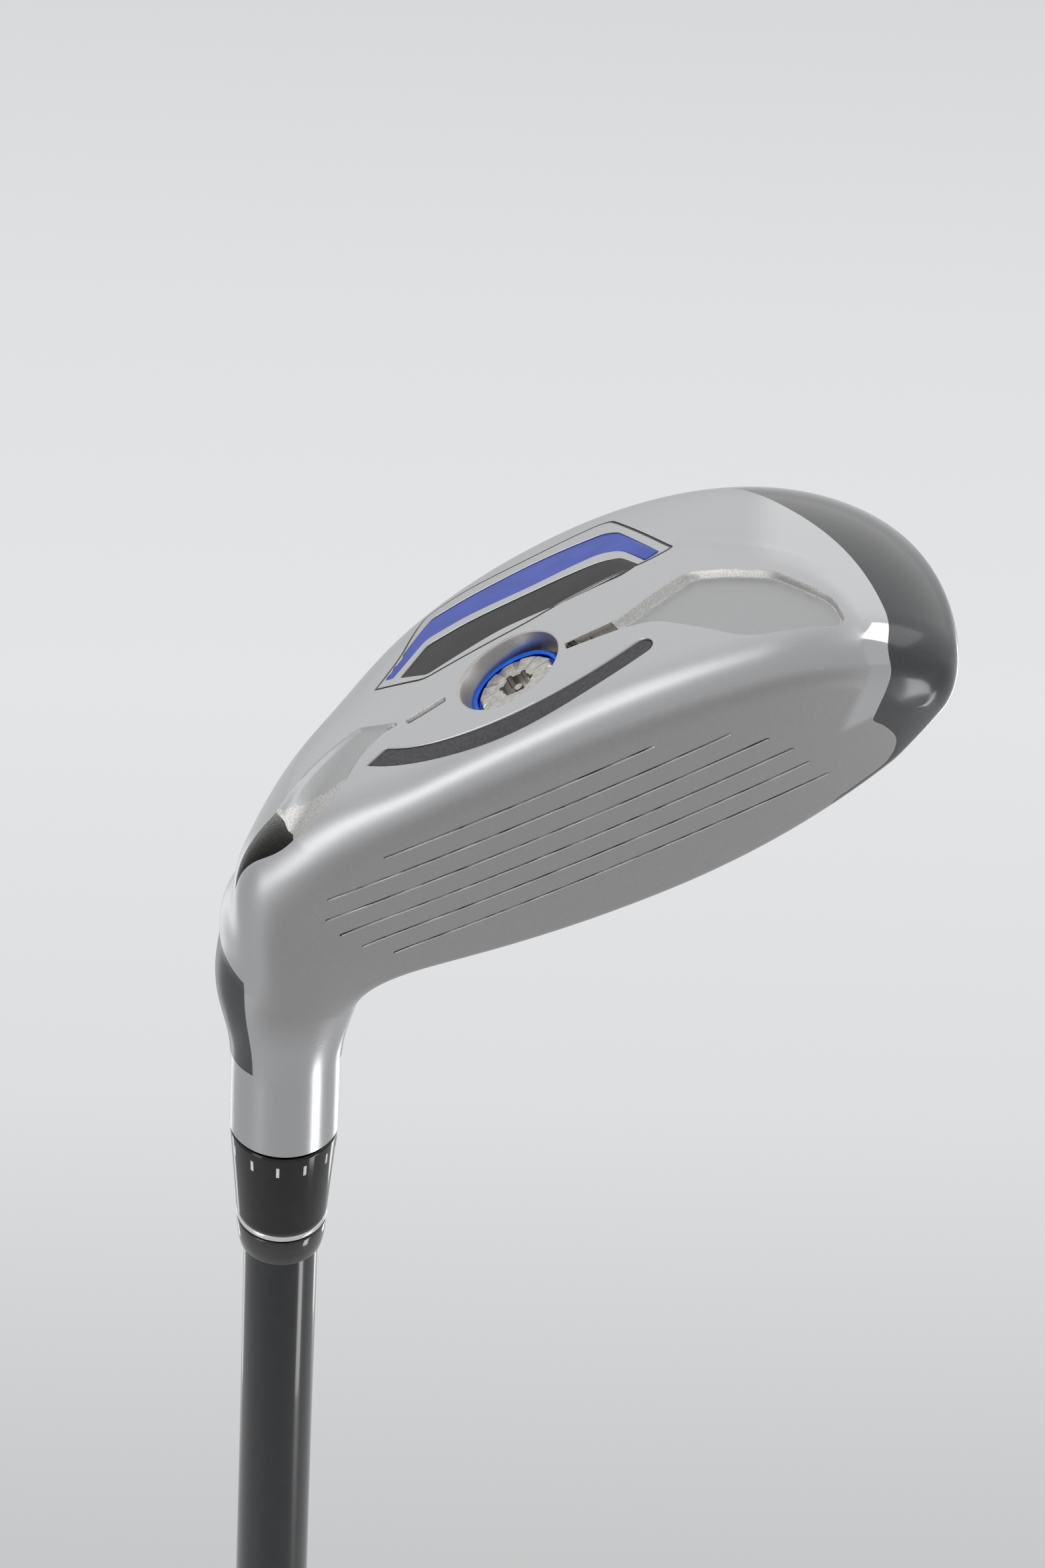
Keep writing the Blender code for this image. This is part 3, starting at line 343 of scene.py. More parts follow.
def turned(name, corners, matrix, steps=96, ring=False, materials=()):
    # A profile of radius, height and rounding, spun about the frame's Z axis
    points, faces, rows = [], [], []
    for radius, height in softened(corners, closed=ring):
        if radius < 1e-6:
            rows.append([len(points)] * steps)
            points.append((0, 0, height))
            continue
        rows.append(list(range(len(points), len(points) + steps)))
        for step in range(steps):
            angle = 2 * math.pi * step / steps
            points.append((radius * math.cos(angle), radius * math.sin(angle), height))
    for low, high in zip(rows, rows[1:] + (rows[:1] if ring else [])):
        for step in range(steps):
            after = (step + 1) % steps
            quad = [low[step], low[after], high[after], high[step]]
            face = [corner for i, corner in enumerate(quad) if corner != quad[i - 1]]
            if len(face) > 2:
                faces.append(face)
    return facingOut(asObject(name, points, faces, matrix, materials))


def applied(made):
    # The evaluated mesh takes the place of the object's modifiers
    graph = bpy.context.evaluated_depsgraph_get()
    mesh = bpy.data.meshes.new_from_object(made.evaluated_get(graph))
    made.modifiers.clear()
    made.data = mesh
    return made


def pointsOf(mesh):
    # A mesh's points, in the head's own frame
    flat = np.empty(len(mesh.vertices) * 3)
    mesh.vertices.foreach_get("co", flat)
    return placed(flat.reshape(-1, 3), addressFrame.inverted())


def unit(rows, least=1e-12):
    return rows / np.maximum(np.linalg.norm(rows, axis=1, keepdims=True), least)


def faceNormals(points, faces):
    a, b, c = (points[faces[:, corner]] for corner in range(3))
    return np.cross(b - a, c - a)


def dressed(made, body, slot, *nodes):
    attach(made, body)
    if nodes:
        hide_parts(*nodes)
    return made


# Head form, in millimetres at address: x to the toe, y to the target, z up from the ground
form = dict(
    faceAtGround=18.55, faceMiddle=26, bulge=600, roll=420, rollMiddle=18,
    soleLowX=31, soleLowY=9.2, soleToe=104, soleHeel=205, soleBack=99, soleFront=58,
    crownTop=37.2, crownMiddle=31, crownToe=78, crownHeel=135, crownBack=67, crownFront=9, crownSlope=0.9,
    toeX=35.2, toeY=-1.7, toeRadius=39.9, heelX=-5.4, heelY=7.5, heelRadius=10.3,
    skirtRound=13.5, crownRound=4.6, leadingRound=7, toplineRound=1.5, leadingTop=8, toplineStart=26,
    hoselRadius=6.8, hoselFlare=0.9, flareFrom=20, flareTo=50, heelBall=26.5, hoselReach=60, hoselSpare=1.5,
    neckTop=35, neckTopRadius=6.7, neckFoot=(4.3, 3.8, 14.2), neckFootRadius=11.9, neckBlend=10,
    hoselBlend=11, toeSoft=12, toeSoftFrom=52, toeSoftTo=66, roundPower=2.3,
)


def roundMax(a, b, radius):
    power = form["roundPower"]
    u = np.maximum(a + radius, 0)
    v = np.maximum(b + radius, 0)
    return np.minimum(-radius, np.maximum(a, b)) + (u**power + v**power) ** (1 / power)


def blendMin(a, b, reach):
    near = np.maximum(reach - np.abs(a - b), 0) / reach
    return np.minimum(a, b) - near**3 * reach / 6


def smoothStep(value, low, high):
    t = np.clip((value - low) / (high - low), 0, 1)
    return t * t * (3 - 2 * t)


def twoRadius(value, middle, lowRadius, highRadius):
    return (value - middle) ** 2 / (2 * np.where(value > middle, highRadius, lowRadius))


def soleCamber(x, y):
    along = twoRadius(x, form["soleLowX"], form["soleHeel"], form["soleToe"])
    return along + twoRadius(y, form["soleLowY"], form["soleBack"], form["soleFront"])


def planOutline(x, y):
    # A wide toe circle and a small heel circle, joined by their common tangents
    px, py = x - form["toeX"], y - form["toeY"]
    bx, by = form["heelX"] - form["toeX"], form["heelY"] - form["toeY"]
    span = bx * bx + by * by
    across = np.abs(px * by - py * bx) / span
    along = (px * bx + py * by) / span
    taper = form["toeRadius"] - form["heelRadius"]
    side = math.sqrt(span - taper * taper)
    turning = side * along - taper * across
    squared = across**2 + along**2
    toe = np.sqrt(span * squared) - form["toeRadius"]
    heel = np.sqrt(np.maximum(span * (squared + 1 - 2 * along), 0)) - form["heelRadius"]
    flank = side * across + taper * along - form["toeRadius"]
    return np.where(turning < 0, toe, np.where(turning > side, heel, flank))


def faceDistance(p):
    x, y, z = p[..., 0], p[..., 1], p[..., 2]
    flat = (y - form["faceAtGround"]) * cosLoft + z * sinLoft
    height = z * cosLoft - (y - form["faceAtGround"]) * sinLoft
    bulge = (x - form["faceMiddle"]) ** 2 / (2 * form["bulge"])
    return flat + bulge + (height - form["rollMiddle"]) ** 2 / (2 * form["roll"])


def crownDistance(p):
    x, y, z = p[..., 0], p[..., 1], p[..., 2]
    fall = np.minimum(y - form["crownFront"], 0) ** 2 / (2 * form["crownBack"])
    top = form["crownTop"] - twoRadius(x, form["crownMiddle"], form["crownHeel"], form["crownToe"]) - fall
    return (z - top) * form["crownSlope"]


def neckDistance(p):
    # A cone with round ends from the hosel down into the heel
    start = hoselUp * form["neckTop"]
    axis = np.array(form["neckFoot"]) - start
    length = np.linalg.norm(axis)
    axis = axis / length
    fromStart = p - start
    along = fromStart @ axis
    away = np.sqrt(np.maximum((fromStart**2).sum(-1) - along**2, 0))
    lean = (form["neckTopRadius"] - form["neckFootRadius"]) / length
    at = np.clip((along + away * lean / math.sqrt(1 - lean * lean)) / length, 0, 1)
    radius = form["neckTopRadius"] + (form["neckFootRadius"] - form["neckTopRadius"]) * at
    return np.sqrt((along - at * length) ** 2 + away**2) - radius


def hoselPlace(p):
    along = p @ hoselUp
    return along, np.sqrt(np.maximum((p**2).sum(-1) - along**2, 0))


def hoselDistance(p):
    along, away = hoselPlace(p)
    below = np.maximum(form["heelBall"] - along, 0)
    flare = form["hoselFlare"] * (1 - smoothStep(along, form["flareFrom"], form["flareTo"]))
    return np.sqrt(away**2 + below**2) - form["hoselRadius"] - flare


def facelessShape(p):
    x, y, z = p[..., 0], p[..., 1], p[..., 2]
    skirt = roundMax(soleCamber(x, y) - z, planOutline(x, y), form["skirtRound"])
    upper = roundMax(skirt, crownDistance(p), form["crownRound"])
    return blendMin(upper, neckDistance(p), form["neckBlend"])


def headShape(p):
    x, z = p[..., 0], p[..., 2]
    toeward = form["toeSoft"] * smoothStep(x, form["toeSoftFrom"], form["toeSoftTo"])
    soft = smoothStep(z, form["leadingTop"] + toeward, form["toplineStart"] + toeward / 2)
    edge = form["leadingRound"] + (form["toplineRound"] - form["leadingRound"]) * soft
    faced = roundMax(facelessShape(p), faceDistance(p), edge)
    whole = blendMin(faced, hoselDistance(p), form["hoselBlend"])
    return np.maximum(whole, p @ hoselUp - form["hoselReach"] - form["hoselSpare"])


def surfaceNet(field, low, high, cell):
    # One point in each cell that the surface crosses, and a quad round each crossed edge
    axes = [np.arange(a, b + cell, cell) for a, b in zip(low, high)]
    slabs = [field(np.stack(np.meshgrid([x], axes[1], axes[2], indexing="ij"), -1))[0] for x in axes[0]]
    value = np.stack(slabs)
    inside = value < 0
    shape = np.array(value.shape)
    corners = [np.array((i, j, k)) for i in (0, 1) for j in (0, 1) for k in (0, 1)]
    count = np.zeros(shape - 1, int)
    for i, j, k in corners:
        count += inside[i:shape[0] - 1 + i, j:shape[1] - 1 + j, k:shape[2] - 1 + k]
    mixed = (count > 0) & (count < 8)
    number = np.full(mixed.shape, -1)
    number[mixed] = np.arange(mixed.sum())
    cells = np.argwhere(mixed)
    total = np.zeros((len(cells), 3))
    hits = np.zeros(len(cells))
    for first in corners:
        for second in corners:
            if (second - first).min() < 0 or (second - first).sum() != 1:
                continue
            a = value[tuple((cells + first).T)]
            b = value[tuple((cells + second).T)]
            crossed = (a < 0) != (b < 0)
            t = np.where(crossed, a / np.where(crossed, a - b, 1), 0)
            total += np.where(crossed[:, None], cells + first + t[:, None] * (second - first), 0)
            hits += crossed
    points = np.array(low) + cell * total / hits[:, None]
    quads = []
    for axis in range(3):
        u, v = (np.roll((1, 0, 0), axis + turn) for turn in (1, 2))
        grown = np.roll(inside, -1, axis)
        edges = np.argwhere(inside != grown)
        edges = edges[edges[:, axis] < shape[axis] - 1]
        start = inside[tuple(edges.T)]
        ring = [number[tuple((edges - shift).T)] for shift in (0 * u, u, u + v, v)]
        quad = np.stack(ring, -1)
        quads.append(np.where(start[:, None], quad, quad[:, ::-1]))  # facing out on either side
    return points, np.concatenate(quads)


def slopeOf(field, points, step=0.02):
    slopes = [(field(points + step * e) - field(points - step * e)) / (2 * step) for e in np.eye(3)]
    return np.stack(slopes, -1)


def settled(field, points, rounds=3, flattest=0.2, longest=0.3):
    # Points move along the field's slope until they lie on its surface
    for _ in range(rounds):
        slope = slopeOf(field, points)
        move = field(points) / np.maximum((slope**2).sum(-1), flattest)
        points = points - np.clip(move, -longest, longest)[:, None] * slope
    return points


def relaxed(points, quads, share=0.5):
    pairs = np.concatenate([quads[:, [0, 1]], quads[:, [1, 2]], quads[:, [2, 3]], quads[:, [3, 0]]])
    total = np.zeros_like(points)
    count = np.zeros(len(points))
    np.add.at(total, pairs[:, 0], points[pairs[:, 1]])
    np.add.at(total, pairs[:, 1], points[pairs[:, 0]])
    np.add.at(count, pairs.ravel(), 1)
    return points + share * (total / count[:, None] - points)


def triangles(points, quads):
    first = np.linalg.norm(points[quads[:, 0]] - points[quads[:, 2]], axis=1)
    second = np.linalg.norm(points[quads[:, 1]] - points[quads[:, 3]], axis=1)
    short = (first <= second)[:, None]
    one = np.where(short, quads[:, [0, 1, 2]], quads[:, [0, 1, 3]])
    two = np.where(short, quads[:, [0, 2, 3]], quads[:, [1, 2, 3]])
    return np.concatenate([one, two])


net = dict(cell=0.55, low=(-42, -46, -3), high=(79, 27, 60), relaxing=3)


def makeNet():
    points, quads = surfaceNet(headShape, net["low"], net["high"], net["cell"])
    points = settled(headShape, points)
    for _ in range(net["relaxing"]):
        points = settled(headShape, relaxed(points, quads), 2)
    return points, triangles(points, quads)


# Bore, screw hole and chamfered rim of the hosel, as distances along the hosel axis
bore = dict(
    radius=6.0, rim=6.4, chamfer=0.4, edge=6.55, edgeFall=0.6, edgeOut=7.2, floor=29.0, floorRound=0.3,
    screwHole=2.75, seat=24.5, round=0.2, chamber=5.0, chamberEnd=16.5, chamberRound=0.4, over=4.0,
    outside=14.0,
)
millimetre = club["millimetre"]
hoselHeights = hoselFrame @ Matrix.Translation((0, 0, club["groundPoint"]))
hoselHeights = hoselHeights @ Matrix.Scale(-millimetre, 4, (0, 0, 1))
hoselHeights = hoselHeights @ Matrix.Diagonal((millimetre, millimetre, 1, 1))


def cutBore(points, faces):
    shell = asObject("shellWork", points, faces, addressFrame)
    reach = form["hoselReach"]
    top, edge = reach + bore["over"], reach - bore["edgeFall"]
    corners = [
        (0, top, 0), (bore["outside"], top, 0), (bore["outside"], edge, 0), (bore["edgeOut"], edge, 0),
        (bore["edge"], reach, 0), (bore["rim"], reach, 0), (bore["radius"], reach - bore["chamfer"], 0),
        (bore["radius"], bore["floor"], bore["floorRound"]),
        (bore["screwHole"], bore["floor"], bore["round"]), (bore["screwHole"], bore["seat"], bore["round"]),
        (bore["chamber"], bore["seat"], bore["round"]),
        (bore["chamber"], bore["chamberEnd"], bore["chamberRound"]), (0, bore["chamberEnd"], 0),
    ]
    cutter = turned("boreWork", corners, hoselHeights)
    cut = shell.modifiers.new("bore", "BOOLEAN")
    cut.operation = "DIFFERENCE"
    cut.solver = "MANIFOLD"
    cut.object = cutter
    applied(shell)
    mesh = shell.data
    mesh.calc_loop_triangles()
    corner = np.empty(len(mesh.loop_triangles) * 3, np.int32)
    mesh.loop_triangles.foreach_get("vertices", corner)
    for item in (shell, cutter):
        bpy.data.objects.remove(item)
    return pointsOf(mesh), corner.reshape(-1, 3)


# Carving: a patch of the head is meshed again round the outlines of its recesses
def insideLoop(points, loop):
    x, y = points[:, 0], points[:, 1]
    inside = np.zeros(len(points), bool)
    for (ax, ay), (bx, by) in zip(loop, np.roll(loop, -1, axis=0)):
        if ay == by:
            continue
        inside ^= ((ay > y) != (by > y)) & (x < (bx - ax) * (y - ay) / (by - ay) + ax)
    return inside


def spaced(loop, spacing, closed=True):
    out = []
    ends = np.roll(loop, -1, axis=0) if closed else loop[1:]
    for a, b in zip(loop, ends):
        parts = max(1, int(math.ceil(np.linalg.norm(b - a) / spacing)))
        out += [a + (b - a) * step / parts for step in range(parts)]
    return np.array(out if closed else out + [loop[-1]])


def nearLine(places, line):
    # Distance from each place to a line of straight stretches
    best = np.full(len(places), 1e9)
    for a, b in zip(line, line[1:]):
        along = b - a
        t = np.clip((places - a) @ along / (along @ along), 0, 1)
        best = np.minimum(best, np.linalg.norm(places - a - t[:, None] * along, axis=1))
    return best


def creaseDepth(crease, places, rim):
    # The skin falls away on both sides of a ridge, and is itself again at the patch's rim
    away = nearLine(places, crease["line"]) / crease["reach"]
    edge = smoothStep(nearLine(places, np.concatenate([rim, rim[:1]])), 0, crease["fade"])
    return crease["fall"] * away * np.exp(1 - away) * edge


def drawnIn(loop, distance, sharpest=0.35):
    # The loop moved inwards, with each corner on its two neighbours' offset lines
    area = (loop[:, 0] * np.roll(loop[:, 1], -1) - np.roll(loop[:, 0], -1) * loop[:, 1]).sum()
    ahead = unit(np.roll(loop, -1, axis=0) - loop)
    side = np.stack([-ahead[:, 1], ahead[:, 0]], -1) * np.sign(area)
    before = np.roll(side, 1, axis=0)
    both = side + before
    return loop + distance * both / np.maximum(1 + (side * before).sum(-1), sharpest)[:, None]


def lifted(plane, flat, samples=121, halvings=22):
    # From each place on the plane, straight in to the head's surface
    start = plane["origin"] + flat[:, :1] * plane["u"] + flat[:, 1:] * plane["v"]
    steps = np.linspace(plane["near"], plane["far"], samples)
    value = headShape(start[:, None, :] + steps[None, :, None] * plane["inward"])
    first = np.argmax(value < 0, axis=1)
    near, far = steps[np.maximum(first - 1, 0)], steps[first]
    for _ in range(halvings):
        middle = (near + far) / 2
        inside = headShape(start + middle[:, None] * plane["inward"]) < 0
        far = np.where(inside, middle, far)
        near = np.where(inside, near, middle)
    return start + far[:, None] * plane["inward"]


def rimOf(faces):
    edges = {}
    for a, b, c in faces.tolist():
        for pair in ((a, b), (b, c), (c, a)):
            edges[pair] = True
    return [(a, b) for a, b in edges if (b, a) not in edges]


def rimWall(tris, count):
    # From each edge of the rim to the same edge of the underside, whose points come count later
    wall = []
    for a, b in rimOf(tris):
        wall += [(b, a, a + count), (b, a + count, b + count)]
    return np.array(wall)


def patchOf(points, faces, plane, outline, steepest=-0.4):
    # Faces inside the outline that look out of the plane, trimmed until their rim is one plain loop
    flat = np.stack([(points - plane["origin"]) @ plane["u"], (points - plane["origin"]) @ plane["v"]], -1)
    inside = insideLoop(flat, outline)
    ids = np.flatnonzero(inside)
    inside[ids] = np.linalg.norm(lifted(plane, flat[ids]) - points[ids], axis=1) < net["cell"]
    chosen = inside[faces].all(axis=1) & (unit(faceNormals(points, faces)) @ plane["inward"] < steepest)
    while True:
        rim = rimOf(faces[chosen])
        ends = np.bincount(np.array(rim).ravel(), minlength=len(points))
        pinched = np.flatnonzero(ends > 2)
        if not len(pinched):
            break
        chosen &= ~np.isin(faces, pinched).any(axis=1)
    follow = dict(rim)
    loops = []
    while follow:
        start = next(iter(follow))
        loop = [start]
        while follow[loop[-1]] != start:
            loop.append(follow.pop(loop[-1]))
        follow.pop(loop[-1])
        loops.append(loop)
    return flat, chosen, np.array(max(loops, key=len))


def ringEdges(start, count):
    return [(start + i, start + (i + 1) % count) for i in range(count)]


def meshed(places, edges):
    # Triangles over all places with these edges kept, and the place that each point comes from
    result = delaunay_2d_cdt([Vector(place) for place in places], edges, [], 0, 1e-6, True)
    flat = np.array([place[:] for place in result[0]])
    return flat, np.array(list(result[2])), [ids[0] if ids else -1 for ids in result[3]]


def staggered(loop, spacing, rowGap=0.866):
    # A grid inside the loop with every other row shifted
    low, high = loop.min(0), loop.max(0)
    across = np.arange(low[0], high[0], spacing)
    rows = np.arange(low[1], high[1], spacing * rowGap)
    grid = np.array([(x + spacing / 2 * (row % 2), y) for row, y in enumerate(rows) for x in across])
    return grid[insideLoop(grid, loop)]


def clearOf(grid, places, least, batch=400):
    clear = np.ones(len(grid), bool)
    for start in range(0, len(places), batch):
        away = grid[:, None, :] - places[None, start:start + batch, :]
        clear &= np.linalg.norm(away, axis=2).min(axis=1) > least
    return clear


def carve(points, faces, zones, plane, outline, features, spacing, crease=None, clearance=0.45):
    flat, chosen, rim = patchOf(points, faces, plane, outline)
    rimFlat = flat[rim]
    places, depths, edges = [rimFlat], [np.zeros(len(rim))], ringEdges(0, len(rim))
    used = len(rim)
    bands = []
    for item in features:
        loops = [spaced(drawnIn(item["loop"], inset), item["spacing"]) for inset, _ in item["steps"]]
        for loop, (_, depth) in zip(loops, item["steps"]):
            places.append(loop)
            depths.append(depth * item["share"](loop))
            edges += ringEdges(used, len(loop))
            used += len(loop)
        bands.append(loops)
    if crease is not None:
        line = spaced(crease["line"], spacing, closed=False)
        places.append(line)
        depths.append(np.zeros(len(line)))
        edges += [(used + i, used + i + 1) for i in range(len(line) - 1)]
    # The grid keeps off the walls, and takes the floor's depth inside them
    grid = staggered(rimFlat, spacing)
    clear = clearOf(grid, np.concatenate(places), spacing * clearance)
    floor = np.zeros(len(grid))
    for item, loops in zip(features, bands):
        outer, inner = insideLoop(grid, loops[0]), insideLoop(grid, loops[-1])
        clear &= ~(outer & ~inner)
        floor[inner] = item["floor"] * item["share"](grid[inner])
    depths = np.concatenate([*depths, floor[clear]])
    newFlat, tris, source = meshed(np.concatenate([*places, grid[clear]]), edges)
    tris = tris[insideLoop(newFlat[tris].mean(axis=1), rimFlat)]
    # The patch's rim keeps the head's own points, and all others are new
    target = np.empty(len(newFlat), int)
    fresh = []
    for index, origin in enumerate(source):
        if 0 <= origin < len(rim):
            target[index] = rim[origin]
        else:
            target[index] = len(points) + len(fresh)
            fresh.append(index)
    depth = np.array([depths[source[index]] if source[index] >= 0 else 0 for index in fresh])
    if crease is not None:
        depth = depth + creaseDepth(crease, newFlat[fresh], rimFlat)
    points = np.concatenate([points, lifted(plane, newFlat[fresh]) + depth[:, None] * plane["inward"]])
    centre = newFlat[tris].mean(axis=1)
    newZones = np.full(len(tris), zones[chosen][0] if chosen.any() else 0)
    for item, loops in zip(features, bands):
        inner = insideLoop(centre, loops[0])
        newZones[inner] = item["wall"]
        newZones[insideLoop(centre, loops[-1])] = item["bed"]
        if item["finishAt"]:
            newZones[inner] = item["finishAt"](centre[inner])
    corners = target[tris]
    if (faceNormals(points, corners) @ plane["inward"]).sum() > 0:
        corners = corners[:, ::-1]
    return points, np.concatenate([faces[~chosen], corners]), np.concatenate([zones[~chosen], newZones])


def planeOf(origin, u, v, inward, near, far):
    # Seen from near to far along inward, with u and v across
    origin, u, v, inward = (np.array(value, float) for value in (origin, u, v, inward))
    return dict(origin=origin, u=u, v=v, inward=inward, near=near, far=far)


soleTilt = math.radians(14.5)  # seen a little from the heel, so that the heel's end isn't steep
sinTilt, cosTilt = math.sin(soleTilt), math.cos(soleTilt)
solePlane = planeOf((0, 0, 0), (cosTilt, 0, -sinTilt), (0, 1, 0), (sinTilt, 0, cosTilt), -10, 32)
groundPlane = planeOf((0, 0, 0), (1, 0, 0), (0, 1, 0), (0, 0, 1), -6, 20)
facePlane = planeOf(
    (0, form["faceAtGround"], 0), (1, 0, 0), (0, -sinLoft, cosLoft), (0, -cosLoft, -sinLoft), -9, 4,
)


def onSole(loop):
    # An outline in plan, moved to the tilted plane of the sole's patch
    place = lifted(groundPlane, np.asarray(loop, float))
    return np.stack([place @ solePlane["u"], place @ solePlane["v"]], -1)


def soleOutline(corners):
    return onSole(softened(corners))


# Sole recesses, in plan
slot = dict(centreX=27.4, centreY=-21.0, radius=33.2, halfWidth=1.45, toe=31, frontHeel=32, backHeel=29.5)
toePocket = [
    (35.2, 1.9, 0.2), (41.6, 0.9, 1.5), (49.8, -5.4, 1.6), (54.9, -3.8, 1.2), (59.6, -1.6, 1.6),
    (65.9, 5.3, 1.4), (66.9, 8.8, 0.8), (65.6, 10.0, 0.5), (61.4, 10.5, 2.5), (56.4, 10.6, 2.2),
    (52.1, 7.5, 2), (46.4, 3.4, 2.5), (43.2, 2.9, 1.5), (35.4, 3.1, 0.2),
]
leftBar = [(14.2, 3.0, 0.3), (19.6, 1.7, 0.2), (19.7, 2.9, 0.2), (14.7, 4.1, 0.3)]
badgeFrame = [
    (9.1, -7.3, 0.4), (12, -13.3, 1.5), (14.1, -22.8, 1.5), (19.5, -24.6, 1.5), (28.6, -25.6, 2),
    (37.1, -27.4, 1.5), (38.9, -27.0, 0.8), (47.9, -12.6, 0.5), (44.4, -10.6, 1), (30, -6.0, 2),
    (16.3, -4, 1),
]
badgeBand = [
    (10.3, -8.7, 0.2), (15.2, -20.3, 1.2), (20.1, -21.6, 1.5), (29, -22.9, 2), (38.2, -23.4, 1.2),
    (40.3, -22.0, 0.8), (46.1, -12.5, 0.3), (44.5, -11.2, 0.3), (41.2, -15.9, 1), (38.5, -17, 1.2),
    (30.1, -15.4, 2), (21, -15.3, 1.5), (15.6, -14.3, 1), (11.7, -8.1, 0.2),
]
badgePanel = [
    (12.6, -7.4, 0.3), (15.8, -12.6, 1), (21.3, -13.6, 1.5), (30.2, -13.9, 2), (38.6, -14.8, 1.2),
    (41.3, -14, 0.8), (43.8, -10.6, 0.3), (41.7, -8.9, 0.8), (35.1, -7.4, 2), (26.4, -7.4, 2),
    (16.7, -4.9, 0.6),
]
troughBack = [(13.2, 2.8, 0), (8.3, 0.9, 0.6), (-3.4, 7.4, 1.2), (-8.5, 8.0, 2), (-13.2, 8.5, 0)]
troughFront = [
    (-13.2, 8.5, 0), (-9.0, 10.2, 2), (-4.1, 12.1, 2), (1.3, 12.7, 2.5), (5.8, 10.7, 2), (8.9, 6.1, 2),
    (11.6, 3.9, 1.5), (13.3, 3.4, 0),
]
trough = dict(
    start=9.0, shallow=0.35, slope=0.2, knee=0.34, kneeShare=0.74, bottom=0.8, mouth=-3.9, lean=0.3, edge=0.5,
    wall=0.35, port=6.0, drop=0.22, dropWidth=0.4, rim=0.34, dark=0.3, roughFrom=-3.9, roughSlope=0.075,
    roughTo=5.5,
)
ridge = dict(
    corners=[(48.6, -12.9), (52, -11.2), (57, -7.9), (61.3, -4.4), (65.2, -0.6)], reach=2.2, fall=0.3,
    fade=3.0,
)
solePatch = [
    (-15.2, 6.6), (-8, 5.0), (-3, 3.0), (4, -3), (8, -8), (10.2, -14.5), (12.4, -24.2), (18.8, -26.6),
    (28.6, -27.6), (37.5, -29.6), (40.2, -28.8), (50, -17), (56, -14.5), (62, -10), (66.5, -3.5),
    (68.9, 2), (69.4, 8.4), (67.4, 12.2), (57, 13.2), (47, 14.0), (43, 14.6), (36, 15.4), (27, 15.7),
    (17, 15.2), (8, 14.8), (1, 15.2), (-5, 14.6), (-10, 12.6), (-15, 10.2),
]


def troughSides(places):
    # Distances to the back ridge and the front lip, the share of the way across, and how open the port is
    back = nearLine(places, onSole(softened(troughBack, closed=False)))
    front = nearLine(places, onSole(softened(troughFront, closed=False)))
    heelward = trough["mouth"] - trough["lean"] * back - places[:, 0]
    return back, front, back / np.maximum(back + front, 1e-6), smoothStep(heelward, 0, trough["edge"])


def troughDepth(places):
    # Steep under the back ridge, then a flatter bed, then a wall up to the front lip
    back, front, across, hole = troughSides(places)
    valley = np.interp(across, [0, trough["knee"], trough["bottom"], 1], [0, trough["kneeShare"], 1, 0])
    deep = trough["shallow"] + trough["slope"] * np.maximum(trough["start"] - places[:, 0], 0)
    chamfer = trough["drop"] * np.minimum(back / trough["dropWidth"], 1)
    walls = np.clip(back / trough["wall"], 0, 1) * np.clip(front / trough["wall"], 0, 1)
    return deep * valley + chamfer + trough["port"] * hole * walls


def troughFinish(centres):
    back, _, across, hole = troughSides(centres)
    along = centres[:, 0]
    rough = (across > trough["roughSlope"] * (along - trough["roughFrom"])) & (along < trough["roughTo"])
    zones = np.where(rough, zoneOf["castWall"], zoneOf["castFloor"])
    # Painted shade over the port's mouth, except a narrow rim by the back ridge, which keeps the cast wall's
    # tone
    hole = hole > trough["dark"]
    zones = np.where(hole, zoneOf["portPaintedShade"], zones)
    return np.where(hole & (back < trough["rim"]), zoneOf["castWall"], zones)


pocketZones = dict(wall=0.74, darkToneEnd=39.6)


def pocketFinish(centres):
    # A cast wall and floor, and a darker tone in the narrow end beside the weight
    loop = soleOutline(toePocket)
    away = nearLine(centres, np.concatenate([loop, loop[:1]]))
    zones = np.where(away < pocketZones["wall"], zoneOf["castWall"], zoneOf["castFloor"])
    return np.where(centres[:, 0] < pocketZones["darkToneEnd"], zoneOf["grooveDarkTone"], zones)


weightPort = dict(x=27.8, y=2.1, radius=6.75)
scoreLines = [  # height up the face, heel end and toe end
    (9.4, 7.1, 41.9), (13.3, -2.4, 49.8), (17.2, -4.7, 52.8), (21.1, -4.9, 54.2), (25.0, -4.1, 54.6),
    (28.9, -1.8, 55.3),
]
score = dict(halfWidth=0.27, bevel=0.11, bevelDepth=0.1, flank=0.2, depth=0.34, kept=0.82, worn=0.18)
facePatch = [
    (-6.4, 12), (3, 7.2), (45, 7.2), (54, 10.5), (58, 16), (58, 30.8), (-3.2, 30.8), (-6.2, 26), (-7, 19),
]
zoneNames = [
    "headSteel", "castWall", "castFloor", "portWall", "grooveDarkTone", "scoreDirtAndShade", "portPaintedShade", "scoreEdgeHighlight",
]
zoneOf = {name: index for index, name in enumerate(zoneNames)}


def slotArc(radius, angles):
    middle = np.array((slot["centreX"], slot["centreY"]))
    return [middle + radius * np.array((math.sin(a), math.cos(a))) for a in np.radians(angles)]


def slotLoop(steps=40, capSteps=10):
    # Round at the toe, cut slantwise at the heel
    half, end = slot["halfWidth"], math.radians(slot["toe"])
    front = slotArc(slot["radius"] + half, np.linspace(-slot["frontHeel"], slot["toe"], steps))
    back = slotArc(slot["radius"] - half, np.linspace(slot["toe"], -slot["backHeel"], steps))
    centre = slotArc(slot["radius"], [slot["toe"]])[0]
    out, ahead = np.array((math.sin(end), math.cos(end))), np.array((math.cos(end), -math.sin(end)))
    turns = np.linspace(0, math.pi, capSteps)[1:-1]
    cap = [centre + half * (math.cos(turn) * out + math.sin(turn) * ahead) for turn in turns]
    return np.array(front + cap + back)


def circleLoop(x, y, radius, steps=72):
    angles = np.linspace(0, 2 * math.pi, steps, endpoint=False)
    return np.stack([x + radius * np.cos(angles), y + radius * np.sin(angles)], -1)


